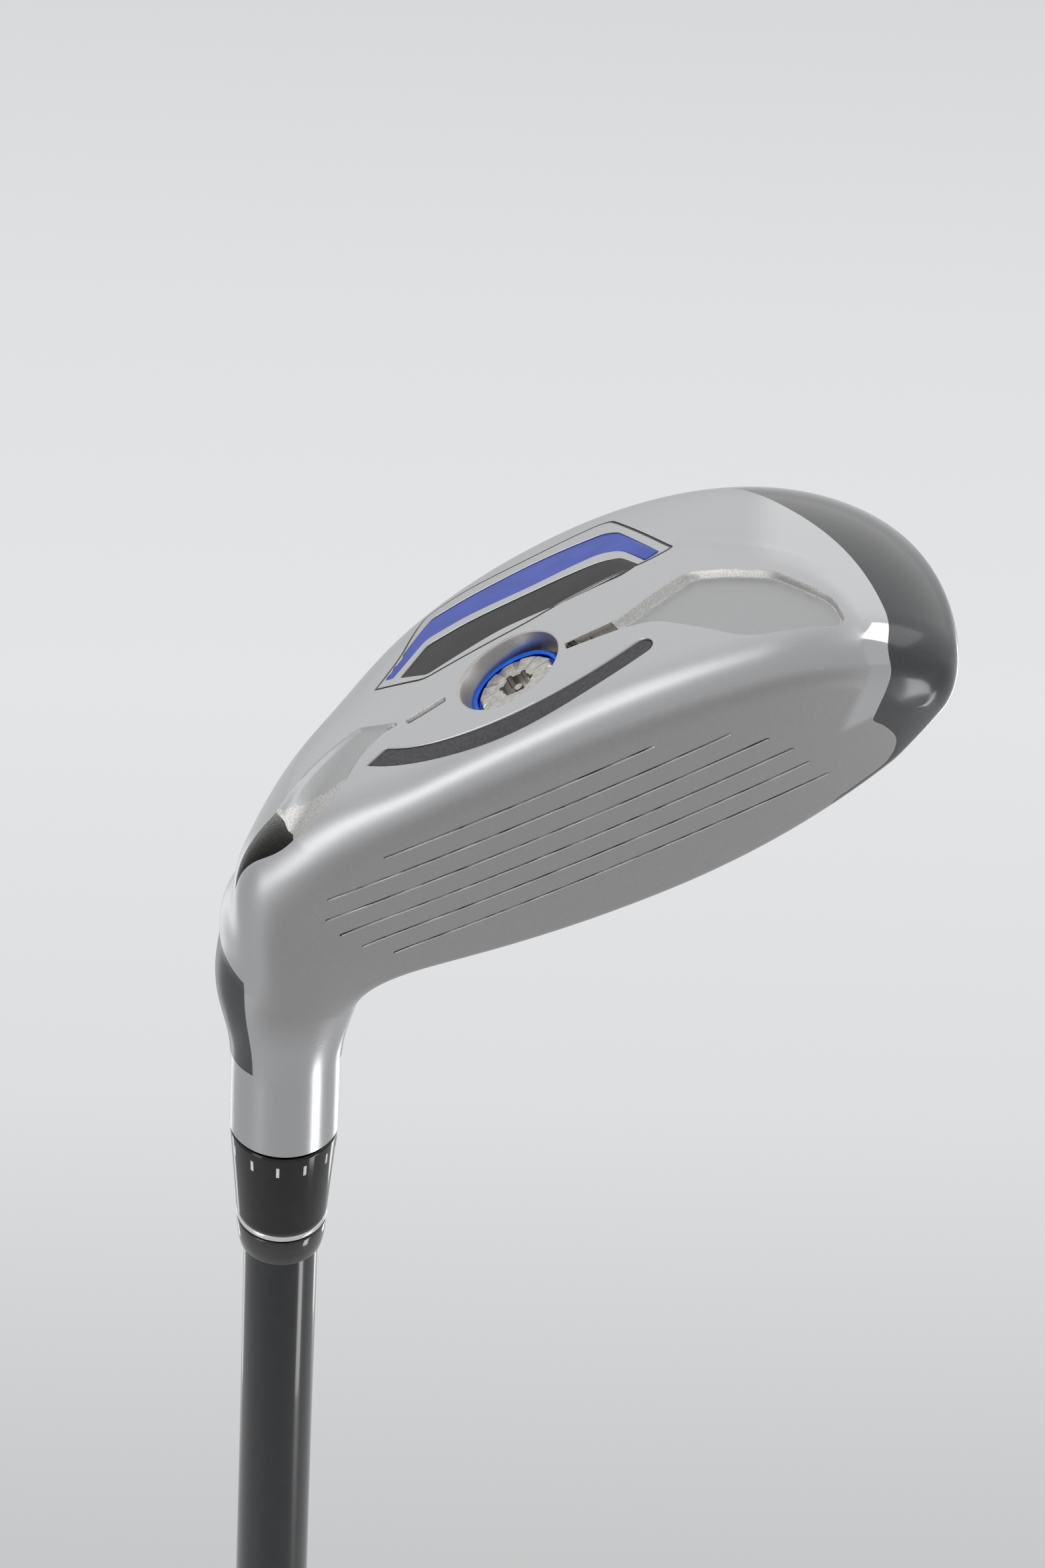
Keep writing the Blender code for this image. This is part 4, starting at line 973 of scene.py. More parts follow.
def scoreLoop(height, heel, toe):
    half = score["halfWidth"]
    ends = np.linspace(-math.pi / 2, math.pi / 2, 7)
    right = np.stack([toe - half + half * np.cos(ends), height + half * np.sin(ends)], -1)
    left = np.stack([heel + half - half * np.cos(ends), height - half * np.sin(ends)], -1)
    return np.concatenate([right, left])


def wornScore(loop):
    # Grooves are worn shallow in places
    x, y = loop[:, 0], loop[:, 1]
    return score["kept"] + score["worn"] * np.sin(x * 0.9 + y * 2.1) * np.sin(x * 0.23 + y)


def evenDepth(places):
    return np.ones(len(places))


def feature(loop, steps, floor, wall, bed, spacing=0.5, share=evenDepth, finishAt=None):
    return dict(
        loop=loop, steps=steps, floor=floor, wall=zoneOf[wall], bed=zoneOf[bed], spacing=spacing, share=share,
        finishAt=finishAt,
    )


rims = dict(  # how far in and how deep each step of a recess's edge lies
    slot=[(0, 0), (0.08, 0.06), (0.14, 0.2), (0.16, 2.0)],
    port=[(0, 0), (0.1, 0.03), (0.25, 0.13), (0.33, 0.35), (0.4, 4.0)],
    pocket=[(0, 0), (0.08, 0.06), (0.3, 0.4), (0.62, 1.0), (0.8, 1.1)],
    bar=[(0, 0), (0.06, 0.06), (0.2, 0.45)],
    frame=[(0, 0), (0.08, 0.2), (0.3, 0.2), (0.38, 0)],
    inlay=[(0, 0), (0.05, 0.06), (0.08, 0.6)],
    trough=[(0, 0), (0.12, 0.6), (0.35, 1), (0.7, 1)],
)


def soleFeatures():
    port = onSole(circleLoop(weightPort["x"], weightPort["y"], weightPort["radius"]))
    bed = soleOutline(troughBack[:-1] + troughFront)
    return [
        feature(onSole(slotLoop()), rims["slot"], 2.0, "headSteel", "castFloor"),
        feature(port, rims["port"], 4.0, "portWall", "portWall"),
        feature(soleOutline(toePocket), rims["pocket"], 1.12, "castWall", "castFloor", finishAt=pocketFinish),
        feature(soleOutline(leftBar), rims["bar"], 0.5, "castWall", "grooveDarkTone", 0.3),
        feature(soleOutline(badgeFrame), rims["frame"], 0, "grooveDarkTone", "headSteel"),
        feature(soleOutline(badgeBand), rims["inlay"], 0.6, "headSteel", "headSteel"),
        feature(soleOutline(badgePanel), rims["inlay"], 0.6, "headSteel", "headSteel"),
        feature(bed, rims["trough"], 1, "headSteel", "headSteel", 0.35, troughDepth, troughFinish),
    ]


def scoreFinish(height):
    # Dirt and painted shade in the groove, and a painted highlight on its edge towards the crown
    edge = height + score["halfWidth"] - score["bevel"]
    return lambda centres: np.where(centres[:, 1] > edge, zoneOf["scoreEdgeHighlight"], zoneOf["scoreDirtAndShade"])


def faceFeatures():
    depth = score["depth"]
    steps = [(0, 0), (score["bevel"], score["bevelDepth"]), (score["flank"], depth)]
    made = []
    for line in scoreLines:
        finishAt = scoreFinish(line[0])
        made.append(feature(scoreLoop(*line), steps, depth, "scoreDirtAndShade", "scoreDirtAndShade", 0.7, wornScore, finishAt))
    return made


# Paint line of the crown: along the skirt, slantwise up at the toe, round the face's end and the topline
paint = dict(
    low=7.6, middle=-12, bow=106, heelRise=0.12, heelFrom=20, heelEnd=12.5, behindFace=0.25, topline=1.25,
    cornerX=63.4, cornerZ=21.2, cornerAngle=41.5, cornerFrom=0.8, cornerFade=1.2, cornerSoft=3.0,
    endX=64.4, endZ=25.2, endLow=8.3, endHigh=3.6,
)


def paintEdge(p):
    # Above zero over the line along the skirt and its slant at the toe
    x, y, z = p[..., 0], p[..., 1], p[..., 2]
    line = paint["low"] + (y - paint["middle"]) ** 2 / paint["bow"]
    line = line + paint["heelRise"] * np.maximum(paint["heelFrom"] - x, 0)
    angle = math.radians(paint["cornerAngle"])
    slant = math.cos(angle) * (x - paint["cornerX"]) + math.sin(angle) * (z - paint["cornerZ"])
    slant = slant + paint["cornerFade"] * np.maximum(-faceDistance(p) - paint["cornerFrom"], 0)
    return blendMin(z - line, slant, paint["cornerSoft"])


def paintSide(p):
    # Above zero on the crown plate
    x, z = p[..., 0], p[..., 2]
    faceEnd = x - paint["endX"] + twoRadius(z, paint["endZ"], paint["endLow"], paint["endHigh"])
    overTop = np.maximum(-faceDistance(p) - paint["behindFace"], facelessShape(p) + paint["topline"])
    heel = x * sinLie + z * cosLie - paint["heelEnd"]
    return np.minimum(np.minimum(paintEdge(p), np.maximum(overTop, faceEnd)), heel)


def crossings(points, value, faces):
    # Edges whose ends lie on two sides of the line, how far along each it is, and where
    pairs = np.concatenate([faces[:, [0, 1]], faces[:, [1, 2]], faces[:, [2, 0]]])
    pairs = np.unique(np.sort(pairs, axis=1), axis=0)
    pairs = pairs[value[pairs[:, 0]] * value[pairs[:, 1]] < 0]
    a, b = value[pairs[:, 0]], value[pairs[:, 1]]
    t = a / (a - b)
    return pairs, t, points[pairs[:, 0]] + t[:, None] * (points[pairs[:, 1]] - points[pairs[:, 0]])


def splitAlong(points, faces, zones, side, rounds=2, close=0.25):
    # Triangles are cut where the side turns, and points close to that line are moved onto it
    points = points.copy()
    value = side(points)
    for _ in range(rounds):
        pairs, t, place = crossings(points, value, faces)
        for end, near in ((0, t < close), (1, t > 1 - close)):
            ids, first = np.unique(pairs[near, end], return_index=True)
            points[ids] = place[near][first]
            value[ids] = 0
    pairs, _, place = crossings(points, value, faces)
    start = len(points)
    middle = {tuple(pair): start + index for index, pair in enumerate(pairs.tolist())}
    points = np.concatenate([points, place])
    value = np.concatenate([value, np.zeros(len(place))])
    kept, keptZones = [], []
    for face, zone in zip(faces.tolist(), zones.tolist()):
        ring = []
        for here, after in zip(face, face[1:] + face[:1]):
            ring.append(here)
            key = (min(here, after), max(here, after))
            if key in middle:
                ring.append(middle[key])
        if len(ring) > 3:
            first = next(i for i, corner in enumerate(ring) if corner >= start)
            ring = ring[first:] + ring[:first]
        kept += [[ring[0], ring[i], ring[i + 1]] for i in range(1, len(ring) - 1)]
        keptZones += [zone] * (len(ring) - 2)
    kept = np.array(kept)
    upper = value[kept].sum(axis=1) > 0
    return evened(points, np.array(rimOf(kept[upper]))), kept, np.array(keptZones), upper


def evened(points, line, rounds=4):
    # Each point of a line moves halfway towards the middle of its neighbours, and stays on the skin
    ids, count = np.unique(line, return_counts=True)
    for _ in range(rounds):
        total = np.zeros_like(points)
        np.add.at(total, line[:, 0], points[line[:, 1]])
        np.add.at(total, line[:, 1], points[line[:, 0]])
        points[ids] = (points[ids] + total[ids] / count[:, None]) / 2
    points[ids] = settled(headShape, points[ids], 2)
    return points


def walled(points, faces, depth):
    # A closed shell: the faces, then the same faces moved inwards with a wall round their rim
    used = np.unique(faces)
    number = np.full(len(points), -1)
    number[used] = np.arange(len(used))
    outer, tris = points[used], number[faces]
    inner = outer - depth * unit(slopeOf(headShape, outer))
    under = np.concatenate([tris[:, ::-1] + len(used), rimWall(tris, len(used))])
    return np.concatenate([outer, inner]), tris, under


def makeInlay(item, spacing=0.7, rimSpacing=0.4, clearance=0.4):
    # A thin piece that follows the sole inside a loop, with its edge eased
    loop = drawnIn(item["loop"], item["gap"])
    top, edge = item["top"], item["edge"]
    loops = [spaced(drawnIn(loop, inset), rimSpacing) for inset in (0, edge)]
    low, high = loop.min(0), loop.max(0)
    across, along = np.arange(low[0], high[0], spacing), np.arange(low[1], high[1], spacing)
    grid = np.array([(x, y) for x in across for y in along])
    grid = grid[insideLoop(grid, drawnIn(loop, edge + spacing * clearance))]
    depth = np.concatenate([np.full(len(loops[0]), top + edge), np.full(len(loops[1]) + len(grid), top)])
    edges = ringEdges(0, len(loops[0])) + ringEdges(len(loops[0]), len(loops[1]))
    flat, tris, source = meshed(np.concatenate([*loops, grid]), edges)
    tris = tris[insideLoop(flat[tris].mean(axis=1), loops[0])]
    depth = np.array([depth[index] if index >= 0 else top for index in source])
    surface = lifted(solePlane, flat)
    upper = surface + depth[:, None] * solePlane["inward"]
    lower = surface + item["bottom"] * solePlane["inward"]
    faces = np.concatenate([tris, tris[:, ::-1] + len(flat), rimWall(tris, len(flat))])
    points = np.concatenate([upper, lower])
    return facingOut(asObject(item["name"], points, faces, addressFrame, [finish[item["finish"]]]))


# Where each finish of the head fades in, and the painted band at the back of its neck
zoneEdges = dict(
    face=(0.80, 0.97), toeUnder=(-3.6, -2.5), toeFrom=(56, 61), toeTop=(20.2, 21.2), hosel=(34, 44),
)
neckPaint = dict(
    front=18.5, bare=53.5, top=47.3, foot=30.5, fall=0.055, sideSoft=0.6, topSoft=0.08, footSoft=0.1,
)


def headAttributes(made):
    # The head's own coordinates and finish zones travel with its points
    mesh = made.data
    p = pointsOf(mesh)
    facing = unit(slopeOf(headShape, p)) @ np.array((0, cosLoft, sinLoft))
    along = p @ hoselUp
    turn = np.degrees(np.arctan2(p @ np.array((sinLie, 0, cosLie)), p[:, 1]))
    fromFront = np.abs((turn - neckPaint["front"] + 180) % 360 - 180)  # both ways, with no jump at the back
    toe = smoothStep(paintEdge(p), *zoneEdges["toeUnder"]) * smoothStep(p[:, 0], *zoneEdges["toeFrom"])
    values = dict(
        faceZone=smoothStep(facing, *zoneEdges["face"]),
        toeZone=toe * (1 - smoothStep(p[:, 2], *zoneEdges["toeTop"])),
        hoselZone=smoothStep(along, *zoneEdges["hosel"]),
        hoselTurn=fromFront - neckPaint["bare"],
        hoselRise=along,
    )
    mesh.attributes.new("address", "FLOAT_VECTOR", "POINT").data.foreach_set("vector", p.ravel())
    for name, value in values.items():
        mesh.attributes.new(name, "FLOAT", "POINT").data.foreach_set("value", value)
    return made


def exactNormals(made, close=0.03, alike=0.9, alikeAtLine=0.4, line=0.8):
    # Where a face lies on the head's own skin, it is shaded by the form's slope
    mesh = made.data
    p = pointsOf(mesh)
    slope = unit(slopeOf(headShape, p) @ (np.array(addressFrame)[:3, :3] / millimetre).T)
    corner = np.empty(len(mesh.loops) * 3)
    mesh.corner_normals.foreach_get("vector", corner)
    corner = corner.reshape(-1, 3)
    owner = np.empty(len(mesh.loops), np.int32)
    mesh.loops.foreach_get("vertex_index", owner)
    limit = np.where(np.abs(paintSide(p)) < line, alikeAtLine, alike)
    same = (np.abs(headShape(p)) < close)[owner] & ((slope[owner] * corner).sum(axis=1) > limit[owner])
    corner[same] = slope[owner][same]
    mesh.normals_split_custom_set(corner.tolist())
    return made


# Finishes
steel = dict(
    # the face's darker tone is partly its brushed finish and partly painted shade for the dim floor it
    # mirrors
    satin=((0.60, 0.605, 0.615), (0.66, 0.665, 0.675)), face=((0.46, 0.455, 0.45), (0.52, 0.515, 0.51)),
    toe=(0.74, 0.745, 0.755), paint=(0.135, 0.137, 0.142), rough=0.33, grain=0.06, faceGloss=0.03,
    hoselGloss=0.10, toeRough=0.07, blast=0.4, lines=0.6, bump=0.3, bumpHeight=0.00002,
)


def brushed(wire, scale, sharpness=0.5):
    return wire.attribute("address", "Vector").stretched(scale).noise(1.0, 3.0, sharpness)


def headSteelFinish():
    # Blasted sole, brushed face, polished toe and the painted band on the neck
    made, wire = startFinish("headSteel")
    hosel, toe = wire.attribute("hoselZone"), wire.attribute("toeZone")
    face = wire.attribute("faceZone") * (1 - hosel)
    wide, rise = wire.attribute("hoselTurn"), wire.attribute("hoselRise")
    lowest = neckPaint["foot"] - neckPaint["fall"] * wide.math("MAXIMUM", wide, 0.0)
    band = wide.above(neckPaint["sideSoft"]) * (neckPaint["top"] - rise).above(neckPaint["topSoft"])
    band = band * (rise - lowest).above(neckPaint["footSoft"])
    satin = brushed(wire, (9, 9, 9)).between(0.2, 0.8).mixed(*steel["satin"])
    # Brushed face tone: partly its own finish, partly painted shade
    lined = brushed(wire, (16, 0.9, 0.9)).between(0.2, 0.8).mixed(*steel["face"])
    colour = band.mixed(toe.mixed(face.mixed(satin, lined), steel["toe"]), steel["paint"])
    rough = steel["rough"] + steel["grain"] * brushed(wire, (3, 3, 3))
    rough = rough - steel["faceGloss"] * face - steel["hoselGloss"] * hosel
    rough = rough * (1 - toe) + steel["toeRough"] * toe
    blast = brushed(wire, (14, 14, 14)) * (1 - face) * (1 - toe)
    lines = brushed(wire, (18, 1.1, 1.1)) * face * steel["lines"]
    normal = (blast * steel["blast"] + lines).bump(steel["bump"], steel["bumpHeight"])
    return finished(made, {"Base Color": colour, "Metallic": 1.0, "Roughness": rough, "Normal": normal})


def castFinish(name, dark, light, rough, height, grain=(5, 5, 5)):
    made, wire = startFinish(name)
    colour = brushed(wire, grain).between(0.3, 0.75).mixed(dark, light)
    normal = brushed(wire, (6, 6, 6), 0.6).bump(0.6, height)
    return finished(made, {"Base Color": colour, "Metallic": 1.0, "Roughness": rough, "Normal": normal})


def crownFinish():
    made, wire = startFinish("crownPaint")
    flakes = wire.object().noise(9000, 1.0).between(0.45, 0.8)
    return finished(made, {
        "Base Color": flakes.mixed((0.054, 0.057, 0.061), (0.086, 0.089, 0.094)), "Metallic": 0.75,
        "Roughness": 0.40, "Coat Weight": 1.0, "Coat Roughness": 0.13,
    })


def plainFinish(name, dark, light, metallic, rough, scale, coat=0.0, height=0.0):
    made, wire = startFinish(name)
    grain = wire.object().noise(scale, 3.0)
    sockets = {
        "Base Color": grain.between(0.3, 0.7).mixed(dark, light), "Metallic": metallic, "Roughness": rough,
        "Coat Weight": coat, "Coat Roughness": 0.05,
    }
    if height:
        sockets["Normal"] = grain.bump(0.5, height)
    return finished(made, sockets)


castSizes = dict(  # dark and light tone, roughness, bump height and grain
    castWall=((0.56, 0.555, 0.545), (0.76, 0.755, 0.745), 0.36, 0.00005),
    castFloor=((0.51, 0.515, 0.52), (0.54, 0.545, 0.55), 0.42, 0.000008),
    portWall=((0.60, 0.58, 0.55), (0.70, 0.68, 0.65), 0.4, 0.00001),
    grooveDarkTone=((0.20, 0.19, 0.175), (0.30, 0.285, 0.265), 0.5, 0.00001),
    # score grooves: dirt and painted shade inside, a painted highlight on the top edge
    scoreDirtAndShade=((0.05, 0.05, 0.05), (0.34, 0.34, 0.34), 0.4, 0.000004, (0.4, 1.5, 1.5)),
    scoreEdgeHighlight=((0.70, 0.70, 0.69), (0.80, 0.80, 0.79), 0.22, 0.000004),
    # painted shade for the port's mouth
    portPaintedShade=((0.10, 0.098, 0.09), (0.17, 0.165, 0.15), 0.55, 0.00004),
)
plainSizes = dict(  # dark and light tone, metallic, roughness, grain, coat and bump height
    slotPolymer=((0.055, 0.055, 0.06), (0.085, 0.085, 0.09), 0.0, 0.55, 2500, 0.0, 0.00003),
    blueEnamel=((0.030, 0.075, 0.48), (0.04, 0.095, 0.56), 0.0, 0.42, 300),
    blackEnamel=((0.012, 0.012, 0.013), (0.022, 0.022, 0.024), 0.0, 0.45, 300),
    blueAnodised=((0.02, 0.12, 0.75), (0.03, 0.18, 0.9), 1.0, 0.18, 800),
    weightSteel=((0.50, 0.485, 0.46), (0.66, 0.645, 0.62), 1.0, 0.26, 1500),
    screwSteel=((0.20, 0.20, 0.20), (0.30, 0.30, 0.30), 1.0, 0.35, 1500),
    blackAnodised=((0.006, 0.006, 0.0065), (0.010, 0.010, 0.011), 0.0, 0.07, 600),
    trimSilver=((0.78, 0.78, 0.79), (0.86, 0.86, 0.87), 0.6, 0.25, 900),
    ferruleGloss=((0.010, 0.010, 0.011), (0.016, 0.016, 0.017), 0.0, 0.12, 600, 0.7),
    shaftGloss=((0.006, 0.007, 0.009), (0.010, 0.011, 0.014), 0.0, 0.2, 500, 0.45),
    gripRubber=((0.018, 0.018, 0.019), (0.030, 0.030, 0.031), 0.0, 0.7, 1200, 0.0, 0.00008),
    capRubber=((0.020, 0.020, 0.021), (0.028, 0.028, 0.029), 0.0, 0.62, 1200, 0.0, 0.00005),
    tapePaper=((0.70, 0.66, 0.55), (0.78, 0.74, 0.63), 0.0, 0.8, 700, 0.0, 0.00004),
    tickPaint=((0.78, 0.78, 0.76), (0.86, 0.86, 0.84), 0.0, 0.4, 1500),
    nylon=((0.60, 0.58, 0.52), (0.68, 0.66, 0.60), 0.0, 0.5, 600),
)
finish = dict(headSteel=headSteelFinish(), crownPaint=crownFinish())
finish.update({name: castFinish(name, *values) for name, values in castSizes.items()})
finish.update({name: plainFinish(name, *values) for name, values in plainSizes.items()})
print("finishes made")


# Head, carved and split along the paint line
crown = dict(thickness=1.0, bed=1.25)
carving = dict(soleSpacing=0.6, faceSpacing=0.7)


def makeHead():
    points, faces = makeNet()
    print("head net:", len(points), "points")
    points, faces = cutBore(points, faces)
    zones = np.zeros(len(faces), int)
    crease = dict(ridge, line=onSole(ridge["corners"]))
    points, faces, zones = carve(points, faces, zones, solePlane, onSole(solePatch), soleFeatures(),
                                 carving["soleSpacing"], crease)
    points, faces, zones = carve(points, faces, zones, facePlane, np.array(facePatch), faceFeatures(),
                                 carving["faceSpacing"])
    points, faces, zones, upper = splitAlong(points, faces, zones, paintSide)
    # The head's bed under the crown shares the paint line's own points
    bedPoints, _, bedUnder = walled(points, faces[upper], crown["bed"])
    bedFaces = bedUnder[:, ::-1] + len(points)
    shell = asObject(
        "headShell", np.concatenate([points, bedPoints]), np.concatenate([faces[~upper], bedFaces]),
        addressFrame, [finish[name] for name in zoneNames],
        np.concatenate([zones[~upper], np.zeros(len(bedFaces), int)]),
    )
    work = bmesh.new()
    work.from_mesh(shell.data)
    bmesh.ops.remove_doubles(work, verts=work.verts, dist=1e-7)
    bmesh.ops.delete(work, geom=[vert for vert in work.verts if not vert.link_faces], context="VERTS")
    work.to_mesh(shell.data)
    work.free()
    platePoints, plateTop, plateUnder = walled(points, faces[upper], crown["thickness"])
    plateFaces = np.concatenate([plateTop, plateUnder])
    plate = asObject("crownShell", platePoints, plateFaces, addressFrame, [finish["crownPaint"]])
    return exactNormals(headAttributes(shell)), exactNormals(plate)


headShell, crownShell = makeHead()
dressed(headShell, "head", "sole_steel", "head_body", "face_plate")
dressed(crownShell, "head", "crown_paint", "crown_plate")
print("head made:", len(headShell.data.polygons), "faces, crown", len(crownShell.data.polygons))

# Inlays: outline, gap round it, then the depth of top and underside
inlays = [
    dict(name="slotInlay", loop=onSole(slotLoop()), gap=0.18, top=0.22, bottom=1.8, edge=0.08,
         finish="slotPolymer", slot="slot_polymer", node="slot_filler"),
    dict(name="badgeBandInlay", loop=soleOutline(badgeBand), gap=0.1, top=0.14, bottom=0.55, edge=0.05,
         finish="blueEnamel", slot="blue_enamel", node="badge_band"),
    dict(name="badgePanelInlay", loop=soleOutline(badgePanel), gap=0.1, top=0.14, bottom=0.55, edge=0.05,
         finish="blackEnamel", slot="black_enamel", node="badge_panel"),
]
for item in inlays:
    dressed(makeInlay(item), "head", item["slot"], item["node"])
print("inlays made")


# Geometry Nodes: each tree has named inputs for its sizes, and its result becomes a plain mesh
def nodeTree(name, sizes):
    tree = bpy.data.node_groups.new(name, "GeometryNodeTree")
    tree.interface.new_socket("Geometry", in_out="OUTPUT", socket_type="NodeSocketGeometry")
    tree.interface.new_socket("Geometry", in_out="INPUT", socket_type="NodeSocketGeometry")
    for label, value in sizes.items():
        kind = "NodeSocketInt" if isinstance(value, int) else "NodeSocketFloat"
        tree.interface.new_socket(label, in_out="INPUT", socket_type=kind)
    inlet = tree.nodes.new("NodeGroupInput")
    return tree, {socket.name: Wire(tree, socket) for socket in inlet.outputs if socket.name}


def vectorOf(wire, x=0.0, y=0.0, z=0.0):
    return wire.node("ShaderNodeCombineXYZ", {}, {0: x, 1: y, 2: z})


def together(wire, *shapes):
    join = wire.node("GeometryNodeJoinGeometry")
    for shape in shapes:
        wire.tree.links.new(shape.socket, join.socket.node.inputs[0])
    return join


def outwardTurn(wire, axis):
    # Turns this axis of each copy away from the middle
    place = wire.node("GeometryNodeInputPosition")
    outward = vectorOf(wire, place.axis("X"), place.axis("Y"), 0)
    return wire.node("FunctionNodeAlignRotationToVector", {"axis": axis}, {"Vector": outward})


def ringOf(wire, count, radius, height, shape):
    # Copies of a shape on a circle, each turned to look away from the middle
    circle = wire.node("GeometryNodeMeshCircle", {}, {"Vertices": count, "Radius": radius})
    lift = vectorOf(wire, 0, 0, height)
    raised = wire.node("GeometryNodeTransform", {}, {"Geometry": circle, "Translation": lift})
    values = {"Points": raised, "Instance": shape, "Rotation": outwardTurn(wire, "X")}
    copies = wire.node("GeometryNodeInstanceOnPoints", {}, values)
    return wire.node("GeometryNodeRealizeInstances", {}, {0: copies})


def ended(tree, result, finishName):
    wire = Wire(tree)
    whole = wire.node("GeometryNodeRealizeInstances", {}, {0: result})
    coated = wire.node("GeometryNodeSetMaterial", {}, {"Geometry": whole, "Material": finish[finishName]})
    tree.links.new(coated.socket, tree.nodes.new("NodeGroupOutput").inputs[0])


def patterned(made, tree, sizes, matrix):
    modifier = made.modifiers.new("pattern", "NODES")
    modifier.node_group = tree
    for item in tree.interface.items_tree:
        if item.in_out == "INPUT" and item.name in sizes:
            modifier[item.identifier] = sizes[item.name]
    applied(made)
    made.data.transform(matrix)
    smoothed(made.data)
    return made


def joined(name, *pieces):
    # Several pieces of one finish as one object
    work = bmesh.new()
    for piece in pieces:
        work.from_mesh(piece.data)
    mesh = bpy.data.meshes.new(name)
    work.to_mesh(mesh)
    work.free()
    for item in pieces[0].data.materials:
        mesh.materials.append(item)
    smoothed(mesh)
    for piece in pieces:
        bpy.data.objects.remove(piece)
    return added(name, mesh)


toMetres = Matrix.Scale(millimetre, 4)
weightScale = weightFrame @ toMetres

# Weight: a blue cup with a fluted screw in it, as heights over the sole
weight = dict(
    rim=-2.3, floor=-3.4, lip=-2.95, cup=5.1, radius=6.0, lipRadius=4.2, coreTop=-2.15, coreRadius=4.85,
    shoulder=-2.85, shank=3.9, shankEnd=-12.0, socket=1.75, socketFloor=-4.4, pin=0.55, pinTop=-2.7,
    fluteSides=20, pegSides=24, pegLength=2.6, pegSink=0.1,
)
flutes = {
    "Flutes": 12, "Flute place": 4.2, "Flute length": 2.7, "Flute start": 0.45, "Flute end": 0.95,
    "Flute rise": 0.46, "Lobes": 6, "Lobe place": 1.75, "Lobe radius": 0.4,
}


def fluteTree():
    # Cones cut the flutes, and pegs the socket's lobes
    w = weight
    tree, size = nodeTree("weightFlutes", flutes)
    wire = Wire(tree)
    cone = wire.node("GeometryNodeMeshCone", {}, {
        "Vertices": w["fluteSides"], "Radius Bottom": size["Flute start"], "Radius Top": size["Flute end"],
        "Depth": size["Flute length"],
    })
    lying = {"Geometry": cone, "Rotation": (0, math.pi / 2, 0), "Translation": (-w["coreRadius"] / 3, 0, 0)}
    scoop = wire.node("GeometryNodeTransform", {}, lying)
    scoops = ringOf(wire, size["Flutes"], size["Flute place"], size["Flute rise"] + w["coreTop"], scoop)
    pegSizes = {"Vertices": w["pegSides"], "Radius": size["Lobe radius"], "Depth": w["pegLength"]}
    peg = wire.node("GeometryNodeMeshCylinder", {}, pegSizes)
    pegs = ringOf(wire, size["Lobes"], size["Lobe place"], w["coreTop"] - w["pegSink"], peg)
    shapes = {0: size["Geometry"], 1: together(wire, scoops, pegs), "Self Intersection": True}
    cut = wire.node("GeometryNodeMeshBoolean", {"operation": "DIFFERENCE", "solver": "EXACT"}, shapes)
    ended(tree, cut, "weightSteel")
    return tree


def makeWeight():
    w = weight
    cup = turned("weightCup", [
        (w["cup"], w["rim"] - 0.1, 0.1), (w["cup"] + 0.35, w["rim"] + 0.05, 0.2),
        (w["radius"] - 0.3, w["rim"], 0.2), (w["radius"], w["rim"] - 0.45, 0.25),
        (w["radius"], w["floor"], 0), (w["lipRadius"], w["floor"], 0), (w["lipRadius"], w["lip"], 0.1),
        (w["cup"], w["lip"], 0.1),
    ], weightScale, 120, ring=True, materials=[finish["blueAnodised"]])
    dressed(cup, "weight_collar", "blue_anodised", "weight_collar")
    core = turned("weightCore", [
        (0, w["pinTop"], 0), (w["pin"], w["pinTop"], 0.15), (w["pin"], w["socketFloor"], 0),
        (w["socket"], w["socketFloor"], 0.1), (w["socket"], w["coreTop"] - 0.12, 0.06),
        (w["socket"] + 0.22, w["coreTop"], 0.08), (w["coreRadius"] - 0.35, w["coreTop"] - 0.05, 0.15),
        (w["coreRadius"], w["coreTop"] - 0.4, 0.2), (w["coreRadius"], w["shoulder"], 0),
        (w["shank"], w["shoulder"], 0), (w["shank"], w["shankEnd"] + 0.5, 0),
        (w["shank"] - 0.5, w["shankEnd"], 0), (0, w["shankEnd"], 0),
    ], None, 96, materials=[finish["weightSteel"]])
    patterned(core, fluteTree(), flutes, weightScale)
    dressed(core, "weight_screw", "weight_steel", "weight_screw")


makeWeight()
print("weight made")

# Sleeve: a collar on the shaft's axis, and a splined barrel on the hosel's, as heights over the ground point
sleeve = dict(
    low=960.0, high=974.5, lowRadius=5.75, highRadius=6.7, barrel=5.7, root=5.1, barrelTop=63.0,
    splineTop=37.0, foot=30.5, edge=0.12, splineMiddle=3.6, tickHeight=972.1, tickTurn=-5,
)
splines = {
    "Splines": 12, "Spline place": 5.3, "Spline width": 1.25, "Spline depth": 0.8, "Spline length": 6.2,
}
ticks = {
    "Ticks": 12, "Tick place": 6.55, "Tick width": 0.38, "Tick length": 1.7, "Tick depth": 0.10,
    "Tick lean": 0.065,
}


def blockOf(wire, size, name):
    sides = vectorOf(wire, *(size[f"{name} {side}"] for side in ("depth", "width", "length")))
    return wire.node("GeometryNodeMeshCube", {}, {"Size": sides})


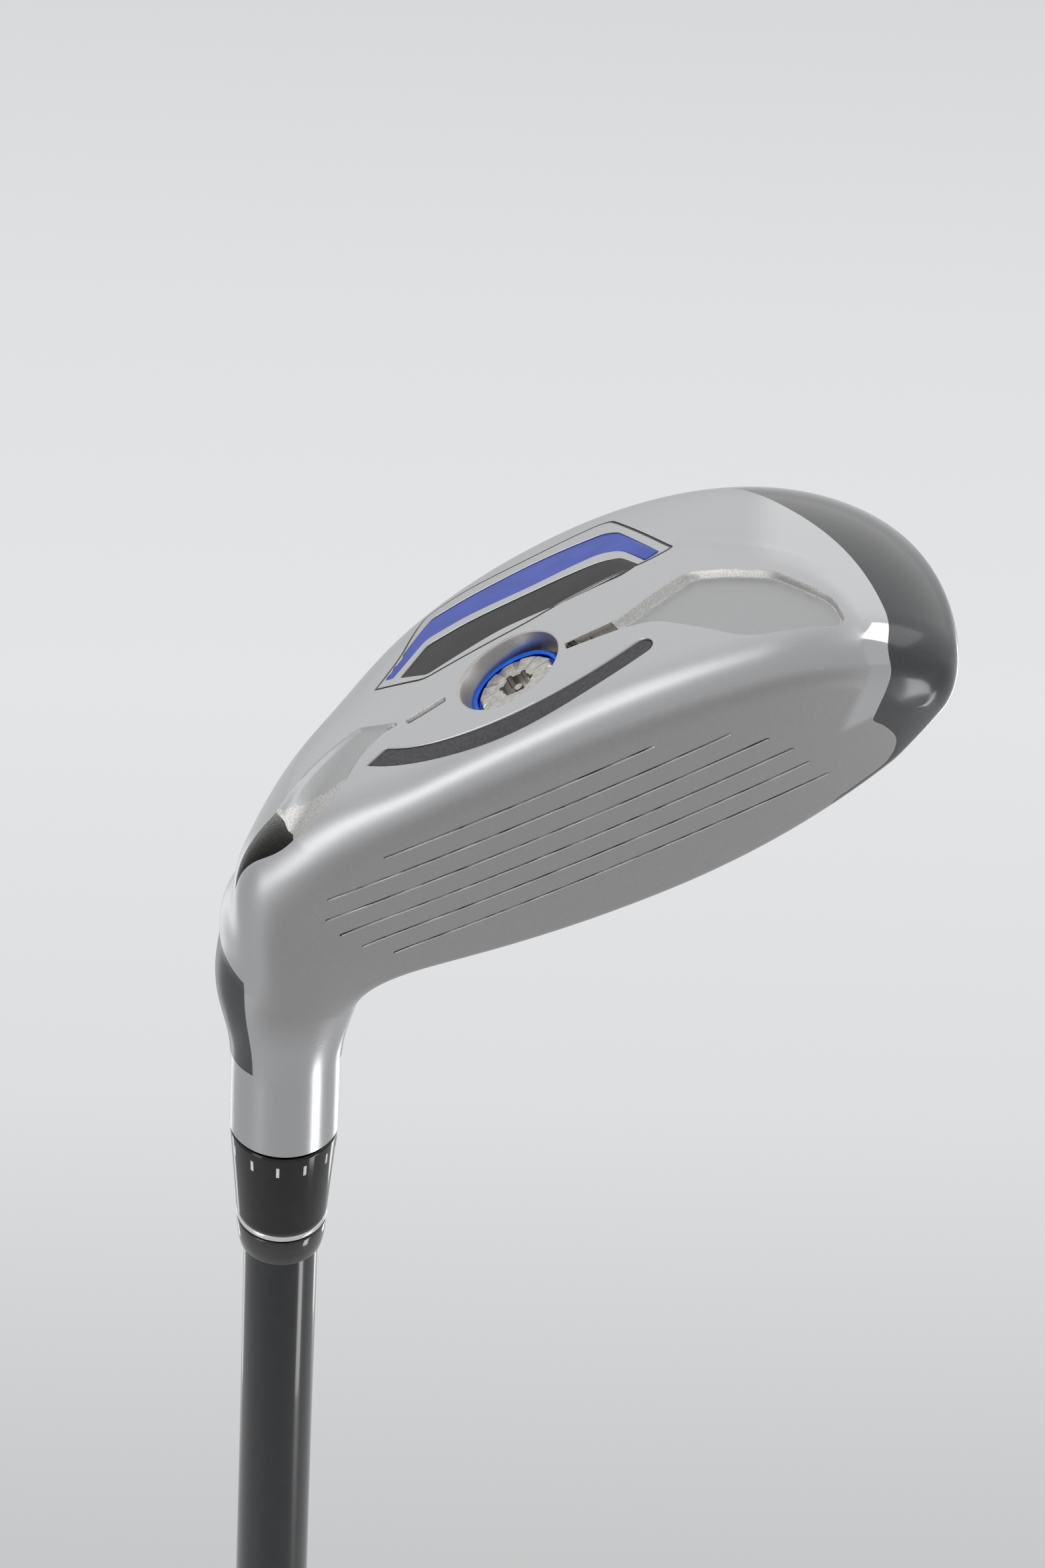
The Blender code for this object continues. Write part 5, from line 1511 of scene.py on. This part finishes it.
def makeSleeve():
    v = sleeve
    collar = turned("sleeveCollar", [
        (0, v["low"], 0), (v["lowRadius"] - 0.05, v["low"], v["edge"]),
        (v["lowRadius"] + 0.02, v["low"] + 0.4, v["edge"]), (v["highRadius"], v["high"] - 0.3, v["edge"]),
        (v["highRadius"] - 0.12, v["high"], v["edge"]), (0, v["high"], 0),
    ], toMetres, 128, materials=[finish["blackAnodised"]])
    barrel = turned("sleeveBarrel", [
        (0, v["barrelTop"], 0), (v["barrel"], v["barrelTop"], 0), (v["barrel"], v["splineTop"] + 0.5, 0),
        (v["root"], v["splineTop"], 0), (v["root"], v["foot"] + 0.4, 0), (v["root"] - 0.4, v["foot"], 0),
        (0, v["foot"], 0),
    ], None, 96, materials=[finish["blackAnodised"]])
    tree, size = nodeTree("sleeveSplines", splines)
    wire = Wire(tree)
    tooth = blockOf(wire, size, "Spline")
    teeth = ringOf(wire, size["Splines"], size["Spline place"], v["foot"] + v["splineMiddle"], tooth)
    ended(tree, together(wire, size["Geometry"], teeth), "blackAnodised")
    facingOut(patterned(barrel, tree, splines, hoselHeights))
    dressed(joined("sleeve", collar, barrel), "shaft_assembly", "black_anodised", "loft_sleeve")


def makeTicks():
    marks = asObject("sleeveTicks", [(0, 0, 0)], [], materials=[finish["tickPaint"]])
    tree, size = nodeTree("sleeveTickRing", ticks)
    wire = Wire(tree)
    leaning = {"Geometry": blockOf(wire, size, "Tick"), "Rotation": vectorOf(wire, 0, size["Tick lean"], 0)}
    bar = wire.node("GeometryNodeTransform", {}, leaning)
    ended(tree, ringOf(wire, size["Ticks"], size["Tick place"], sleeve["tickHeight"], bar), "tickPaint")
    turn = Matrix.Rotation(math.radians(sleeve["tickTurn"]), 4, "Z")
    dressed(patterned(marks, tree, ticks, toMetres @ turn), "shaft_assembly", "trim_silver")


makeSleeve()
makeTicks()
print("sleeve made")

# Shaft, trim ring and ferrule, as heights over the butt
shaftSizes = dict(start=5.0, end=994.0, taperEnd=919.0, butt=7.6, tip=4.7, wall=1.3)
ferrule = dict(inner=5.0, low=954.2, high=958.55, lowRadius=5.25, highRadius=5.66)
trim = dict(inner=5.0, low=958.9, high=959.7, radius=5.78)


def makeShaft():
    v = shaftSizes
    tube = turned("shaftTube", [
        (v["butt"], v["start"], 0.2), (v["tip"], v["taperEnd"], 6), (v["tip"], v["end"], 0.2),
        (v["tip"] - v["wall"], v["end"], 0), (v["tip"] - v["wall"], v["taperEnd"], 0),
        (v["butt"] - v["wall"], v["start"], 0),
    ], toMetres, 96, ring=True, materials=[finish["shaftGloss"]])
    dressed(tube, "shaft_assembly", "shaft_gloss", "shaft")
    v = trim
    ring = turned("trimRing", [
        (v["inner"], v["low"], 0), (v["radius"] - 0.1, v["low"], 0.15),
        (v["radius"], (v["low"] + v["high"]) / 2, 0.2), (v["radius"] - 0.1, v["high"], 0.15),
        (v["inner"], v["high"], 0),
    ], toMetres, 128, ring=True, materials=[finish["trimSilver"]])
    dressed(ring, "shaft_assembly", "trim_silver", "sleeve_trim_ring")
    v = ferrule
    cone = turned("ferruleCone", [
        (v["inner"], v["low"], 0), (v["lowRadius"], v["low"], 0.25),
        (v["lowRadius"] + 0.28, v["low"] + 1.4, 1.0), (v["highRadius"], v["high"] - 1.2, 1.0),
        (v["highRadius"], v["high"], 0.2), (v["inner"], v["high"], 0),
    ], toMetres, 128, ring=True, materials=[finish["ferruleGloss"]])
    dressed(cone, "shaft_assembly", "ferrule_gloss", "ferrule")


makeShaft()

# Grip: a tapered rubber sleeve with ring grooves and a tread of low pyramids, and a cap with a vent
grip = dict(
    low=4.1, high=268.0, butt=13.5, mouth=8.9, curve=0.75, bead=6.0, beadProud=0.55, lipProud=0.2, rows=70,
    inner=8.3, grooves=(14, 17, 20, 243, 247, 251), grooveDepth=0.5, grooveHalf=0.7, grooveRoom=1.4,
    treadLow=27.0, treadHigh=236.0, treadRows=52, treadSides=18,
)
tread = {"Pip radius": 1.55, "Pip top": 0.35, "Pip height": 0.42, "Pip slope": 0.9, "Pip width": 1.15}
cap = dict(
    radius=13.5, bulge=13.75, height=3.8, rim=1.5, vent=1.1, ventDepth=2.2, grooveIn=8.0, grooveOut=9.0,
    groove=0.4,
)


def gripRadius(height):
    at = max(0, (height - grip["low"]) / (grip["high"] - grip["low"]))
    return grip["butt"] + (grip["mouth"] - grip["butt"]) * at ** grip["curve"]


def gripOutline():
    v = grip
    half, deep = v["grooveHalf"], v["grooveDepth"]
    steps = [(-half, 0), (-half / 2, deep), (half / 2, deep), (half, 0)]
    rows = [(at + step, depth) for at in v["grooves"] for step, depth in steps]
    for row in range(v["rows"] + 1):
        height = v["low"] + (v["high"] - v["bead"] - v["low"]) * row / v["rows"]
        if min(abs(height - at) for at in v["grooves"]) > v["grooveRoom"] * half:
            rows.append((height, 0))
    outline = [(gripRadius(height) - depth, height, 0) for height, depth in sorted(rows)]
    outline.append((v["mouth"] + v["beadProud"], v["high"] - v["bead"] / 2, 0.8))
    outline.append((v["mouth"] + v["lipProud"], v["high"], 0.3))
    return outline + [(v["inner"], v["high"], 0), (v["inner"], v["low"], 0)]


def makeTread():
    # Low pyramids, shifted by half a step in every other row
    v = grip
    carrier = []
    for row in range(v["treadRows"] + 1):
        height = v["treadLow"] + (v["treadHigh"] - v["treadLow"]) * row / v["treadRows"]
        radius = gripRadius(height)
        for side in range(v["treadSides"]):
            angle = 2 * math.pi * (side + row % 2 / 2) / v["treadSides"]
            carrier.append((radius * math.cos(angle), radius * math.sin(angle), height))
    pips = asObject("gripTread", carrier, [], materials=[finish["gripRubber"]])
    tree, size = nodeTree("gripTreadPips", tread)
    wire = Wire(tree)
    pip = wire.node("GeometryNodeMeshCone", {}, {
        "Vertices": 4, "Radius Bottom": size["Pip radius"], "Radius Top": size["Pip top"],
        "Depth": size["Pip height"] * 2,
    })
    sink = vectorOf(wire, 0, 0, -1.0 * size["Pip height"])
    sunk = wire.node("GeometryNodeTransform", {}, {"Geometry": pip, "Translation": sink})
    values = {
        "Points": size["Geometry"], "Instance": sunk, "Rotation": outwardTurn(wire, "Z"),
        "Scale": vectorOf(wire, size["Pip slope"], size["Pip width"], 1),
    }
    ended(tree, wire.node("GeometryNodeInstanceOnPoints", {}, values), "gripRubber")
    return patterned(pips, tree, tread, Matrix.Identity(4))


def makeGrip():
    body = turned("gripBody", gripOutline(), None, 96, ring=True, materials=[finish["gripRubber"]])
    whole = joined("gripSleeve", body, makeTread())
    whole.data.transform(toMetres)
    dressed(whole, "shaft_assembly", "grip_rubber", "grip_sleeve")
    v = cap
    end = turned("gripEnd", [
        (0, v["ventDepth"], 0), (v["vent"], v["ventDepth"], 0.1), (v["vent"], 0.2, 0.15),
        (v["vent"] + 0.3, 0, 0.1), (v["grooveIn"], 0, 0.1), (v["grooveIn"] + 0.2, v["groove"], 0.1),
        (v["grooveOut"] - 0.2, v["groove"], 0.1), (v["grooveOut"], 0, 0.1), (v["radius"] - v["rim"], 0, 0.8),
        (v["radius"], v["rim"], 0.8), (v["bulge"], v["height"] - 1.2, 0.5), (v["radius"], v["height"], 0.3),
        (0, v["height"], 0),
    ], toMetres, 96, materials=[finish["capRubber"]])
    dressed(end, "shaft_assembly", "cap_rubber", "grip_cap")


makeGrip()
print("shaft and grip made")

# Inner pieces keep their CAD shapes
carried = {
    "grip_tape": "tapePaper", "shaft_tip_plug": "nylon", "hosel_washer": "screwSteel",
    "screw_retaining_ring": "nylon", "hosel_screw": "screwSteel",
}
for node, name in carried.items():
    mesh = frame["nodes"][node].data
    mesh.materials.clear()
    mesh.materials.append(finish[name])
